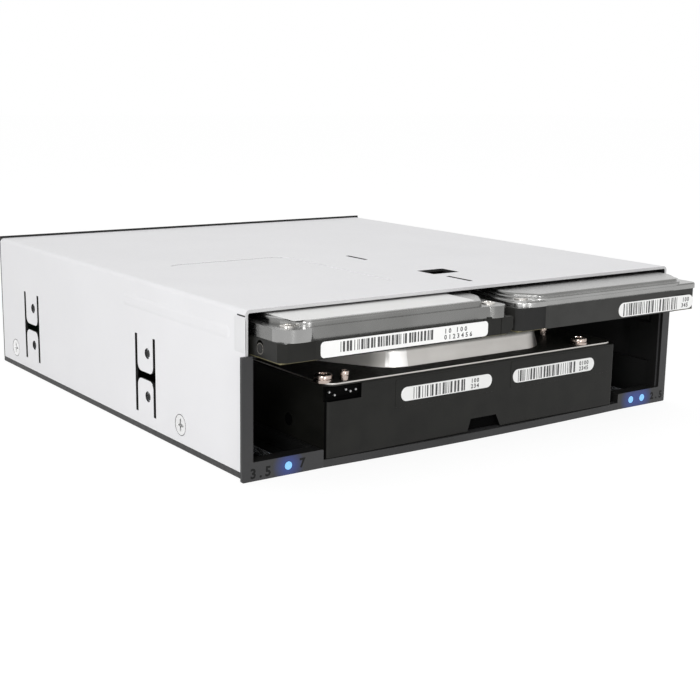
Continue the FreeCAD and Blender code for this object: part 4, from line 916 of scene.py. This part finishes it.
def build_small_lid(side, left, right, front, back):
    """A 2.5 inch drive's stepped lid, whose slopes, walls and left ear take darker copies of its metal as
    painted shade and reflection. Returns where its screws stand.
    """
    body = f"{side}_drive"
    base_high = find_box(f"{body}_base")[1]
    top = find_box(f"{body}_cover")[1].z
    is_left = side == "left"
    slope, wall, ear = 1, 2, 3
    shoulder, crown_top = top - 1.6, top - 0.06
    bm = bmesh.new()
    pan = plate(bm, pan_outline(side, left, right, front, back), base_high.z, shoulder, 0, 6)
    break_edges(bm, pan, 0.6, 4, 60, level_at(shoulder))
    face_y = front + CROWN_SETBACK[side]
    x0, x1, y1, cut = left + 2.6, right - 2.6, back - 3.0, 5.2
    shoulder_y = face_y + cut + 2
    crown = plate(bm, [(x0 + cut, face_y, 1.5), (x1 - cut, face_y, 1.5),
                       (x1, shoulder_y, 2.0), (x1, y1 - cut, 1.5),
                       (x1 - cut, y1, 1.5), (x0 + cut, y1, 1.5),
                       (x0, y1 - cut, 1.5), (x0, shoulder_y, 2.0)], shoulder - 0.5, crown_top)
    break_edges(bm, crown, 0.7, 3, 60, level_at(crown_top))
    if not is_left:
        out, forward, ledge_top = 1.0, 0.8, shoulder + 0.7
        ledge = plate(bm, [(x0 - out, face_y + cut, 2.0), (x0 + cut, face_y - forward, 2.0),
                           (x1 - cut, face_y - forward, 2.0), (x1 + out, face_y + cut, 2.0),
                           (x1 + out, y1, 1.5), (x0 - out, y1, 1.5)], shoulder - 0.3, ledge_top)
        break_edges(bm, ledge, 0.35, 3, 60, level_at(ledge_top))
    # Slopes take painted shade, walls their own painted shade, and the left ear a painted reflection.
    ear_end, ear_back = left + 8.6, front + 5
    for face in bm.faces:
        middle, up = face.calc_center_median(), face.normal.z
        if is_left and middle.x < ear_end and middle.y < ear_back and up < 0.9:
            face.material_index = ear
        elif abs(up) < 0.2:
            face.material_index = wall
        elif up < 0.95:
            face.material_index = slope
    bosses = [(left + 4.0, front + 4.6), (left + 3.7, back - 4.0), (right - 3.7, back - 4.0)]
    if is_left:
        bosses.append((right - 3.6, front + 4.0))
    boss_top = shoulder + 0.08
    for x, y in bosses:
        boss = drum(bm, (x, y, base_high.z), 3.4, boss_top - base_high.z, segments=40)
        break_edges(bm, boss, 0.8, 4, 60, level_at(boss_top))
    wall_painted_shade = lid_band_painted_shade if is_left else right_wall_painted_shade
    bake(bm, f"{side}_lid", body, [lid_metal, lid_band_painted_shade, wall_painted_shade, ear_painted_reflection],
         [f"{body}_cover"])
    return [(x, y, boss_top) for x, y in bosses]


def build_small_screws(side, places):
    """A 2.5 inch drive's lid screws, and the rings in its left side holes in a dark painted shade, with a
    near-black disc of painted shade inside each hole.
    """
    body = f"{side}_drive"
    low = find_box(f"{body}_base")[0]
    hole, ring = 1, 2
    hole_rows, hole_height = (low.y + 9.6, low.y + 86.2), low.z + 1.6
    bm = bmesh.new()
    for place in places:
        screw(bm, place, 1.8, 0.4, star_recess, None, 0.9, 1.2)
    for y in hole_rows:
        drum(bm, (low.x + 0.4, y, hole_height), 1.55, 0.41, TURN_LEFT, ring, 32, 1.4)
        # A dark disc inside each hole: painted shade.
        drum(bm, (low.x + 0.3, y, hole_height), 1.1, 0.36, TURN_LEFT, hole)
    bake(bm, f"{side}_lid_screws", body, [screw_steel, casting, shaded_metal],
         [f"{body}_screws"])


def build_top_label(side, seed, left, right, front, back):
    """The label on the left drive's crown."""
    body = f"{side}_drive"
    top = find_box(f"{body}_cover")[1].z
    bm = bmesh.new()
    plate(bm, frame_corners(left + 4.6, right - 9.2, front + 1.1, back - 17, 0.8), top - 0.07, top, 0, 3)
    bar_row(bm, seed, left + 9, left + 30, front + 30, front + 36, top - 0.002, 0.3)
    bake(bm, f"{side}_top_label", body, LABEL_FINISHES)


def build_small_board(side):
    """The board under a 2.5 inch drive, let down with the casting."""
    body = f"{side}_drive"
    casting_foot = find_box(f"{body}_base")[0].z
    edge = 1
    bm = from_node(f"{body}_board")
    for vert in bm.verts:
        if vert.co.z > casting_foot - 0.05:
            vert.co.z -= SKIRT
    for face in bm.faces:
        if abs(face.normal.z) < 0.5:
            face.material_index = edge
    bake(bm, f"{side}_board_panel", body, [drive_board, laminate], [f"{body}_board"])


def build_small_drive(side, seed):
    """One 2.5 inch drive: casting, stepped lid, screws, board and labels."""
    body = f"{side}_drive"
    low, high = find_box(f"{body}_base")
    left, right = low.x + 0.3, high.x - RIGHT_INSET[side]
    front, back = low.y + 0.3, find_box(f"{body}_cover")[1].y
    label_face = low.y + FACE_SET
    build_small_casting(side)
    places = build_small_lid(side, left, right, front, back)
    build_small_screws(side, places)
    if side == "left":
        build_top_label(side, seed + 1, left, right, front + CROWN_SETBACK[side], back)
    build_small_board(side)
    if side == "left":
        front_label("left_front_label", body, (low.x + 10.4, high.x - 8.3, 31.05, 34.9), label_face, 1.0,
                    (0.108, 0.655, 0.24, 0.88), [("10 100", 0.72), ("0123456", 0.72)], seed, 1.7)
    else:
        front_label("right_front_label", body, (high.x - 33.2, high.x - 2.2, 31.1, 35.1), label_face, 1.95,
                    (0.06, 0.80, 0.06, 0.92), [("100", 0.85), ("345", 0.84)], seed, 1.2)


# ---------------------------------------------------------------- stage

def seen_directly(tree):
    """A socket that is one where the camera looks, straight, in a mirror or through a clear part."""
    paths = tree.nodes.new("ShaderNodeLightPath")
    seen = paths.outputs["Is Camera Ray"]
    for ray in ("Is Glossy Ray", "Is Transmission Ray"):
        larger = tree.nodes.new("ShaderNodeMath")
        larger.operation = "MAXIMUM"
        tree.links.new(seen, larger.inputs[0])
        tree.links.new(paths.outputs[ray], larger.inputs[1])
        seen = larger.outputs[0]
    return seen


def build_floor():
    """A white floor that takes shadows and fades into the surroundings."""
    glow_share, glow_strength = 0.75, 1.15
    bm = bmesh.new()
    bmesh.ops.create_grid(bm, x_segments=1, y_segments=1, size=3.0)
    mesh = bpy.data.meshes.new("floor")
    bm.to_mesh(mesh)
    bm.free()
    floor = bpy.data.objects.new("floor", mesh)
    bpy.context.scene.collection.objects.link(floor)
    finish = Finish("floor_white", (0.80, 0.80, 0.80), 0.9, specular=0.0)
    share = finish.maths("MULTIPLY", seen_directly(finish.material.node_tree), glow_share)
    glow = finish.nodes.new("ShaderNodeEmission")
    glow.inputs["Strength"].default_value = glow_strength
    mix = finish.nodes.new("ShaderNodeMixShader")
    for source, socket in zip((share, finish.shader.outputs[0], glow.outputs[0]), mix.inputs):
        finish.links.new(source, socket)
    finish.links.new(mix.outputs[0], finish.nodes["Material Output"].inputs["Surface"])
    mesh.materials.append(finish.material)


def build_surroundings():
    """White all round, and less bright as a source of light than where it is seen."""
    world = bpy.data.worlds.new("surroundings")
    bpy.context.scene.world = world
    world.use_nodes = True
    tree = world.node_tree
    background = tree.nodes["Background"]
    strength = tree.nodes.new("ShaderNodeMapRange")
    strength.inputs["To Min"].default_value = 0.66
    strength.inputs["To Max"].default_value = 1.0
    tree.links.new(seen_directly(tree), strength.inputs["Value"])
    tree.links.new(strength.outputs["Result"], background.inputs["Strength"])
    background.inputs["Color"].default_value = (1, 1, 1, 1)


def build_lamps():
    """Soft lamps that all look at the middle of the cage."""
    target = Vector((0, 0.07, 0.02))
    for name, place, size, power in (("key_lamp", (-0.60, -0.45, 0.32), 0.24, 2.4),
                                     ("top_lamp", (0.1, 0.1, 0.8), 0.7, 0.35),
                                     ("front_lamp", (0.25, -0.8, 0.3), 0.5, 0.4),
                                     ("low_lamp", (-0.20, -0.80, 0.09), 0.07, 1.2)):
        lamp = bpy.data.lights.new(name, "AREA")
        lamp.size = size
        lamp.energy = power
        holder = bpy.data.objects.new(name, lamp)
        holder.location = place
        holder.rotation_euler = (target - Vector(place)).to_track_quat("-Z", "Y").to_euler()
        bpy.context.scene.collection.objects.link(holder)


def build_camera():
    """The camera, low in front and to the left."""
    film, focus, frame_width = 36.0, 1250, 700
    turn, tilt, roll = math.radians(35.91), math.radians(11.98), math.radians(0.91)
    camera = bpy.data.cameras.new("camera")
    camera.lens = film * focus / frame_width
    camera.sensor_width = film
    holder = bpy.data.objects.new("camera", camera)
    holder.matrix_world = (Matrix.Translation((-0.2198, -0.2472, 0.0926))
                           @ Matrix.Rotation(-turn, 4, "Z") @ Matrix.Rotation(math.pi / 2 - tilt, 4, "X")
                           @ Matrix.Rotation(roll, 4, "Z"))
    bpy.context.scene.collection.objects.link(holder)
    bpy.context.scene.camera = holder
    bpy.context.scene.view_settings.view_transform = "Standard"


# ---------------------------------------------------------------- the whole

build_cover()
build_tray()
softened("shelf_sheet", "mid_shelf", "cage", black_steel_and_painted_shade, 0.15)
softened("divider_sheet", "centre_divider", "cage", black_steel_and_painted_shade, 0.12)
softened("rail_left", "guide_rail_left", "cage", rail_black, 0.2)
softened("rail_right", "guide_rail_right", "cage", rail_black, 0.2)
build_bezel()
build_light_guides()
build_cover_screws()
build_bezel_marks()
build_large_drive()
build_small_drive("left", 21)
build_small_drive("right", 34)
coat(zinc, "clinch_nuts", "upper_standoffs", "lower_standoffs")
coat(screw_steel, "upper_board_screws", "lower_board_screws")
coat(nylon, "data_port_lower", "data_port_left", "data_port_right", "power_port", "board_link",
     "lower_socket", "left_socket", "right_socket", "lower_drive_plug", "left_drive_plug",
     "right_drive_plug", "pipe_clips")
coat(board_green, "upper_board", "lower_board")
coat(drive_board, "lower_drive_board")
coat(lens, "status_lamps")
build_floor()
build_surroundings()
build_lamps()
build_camera()
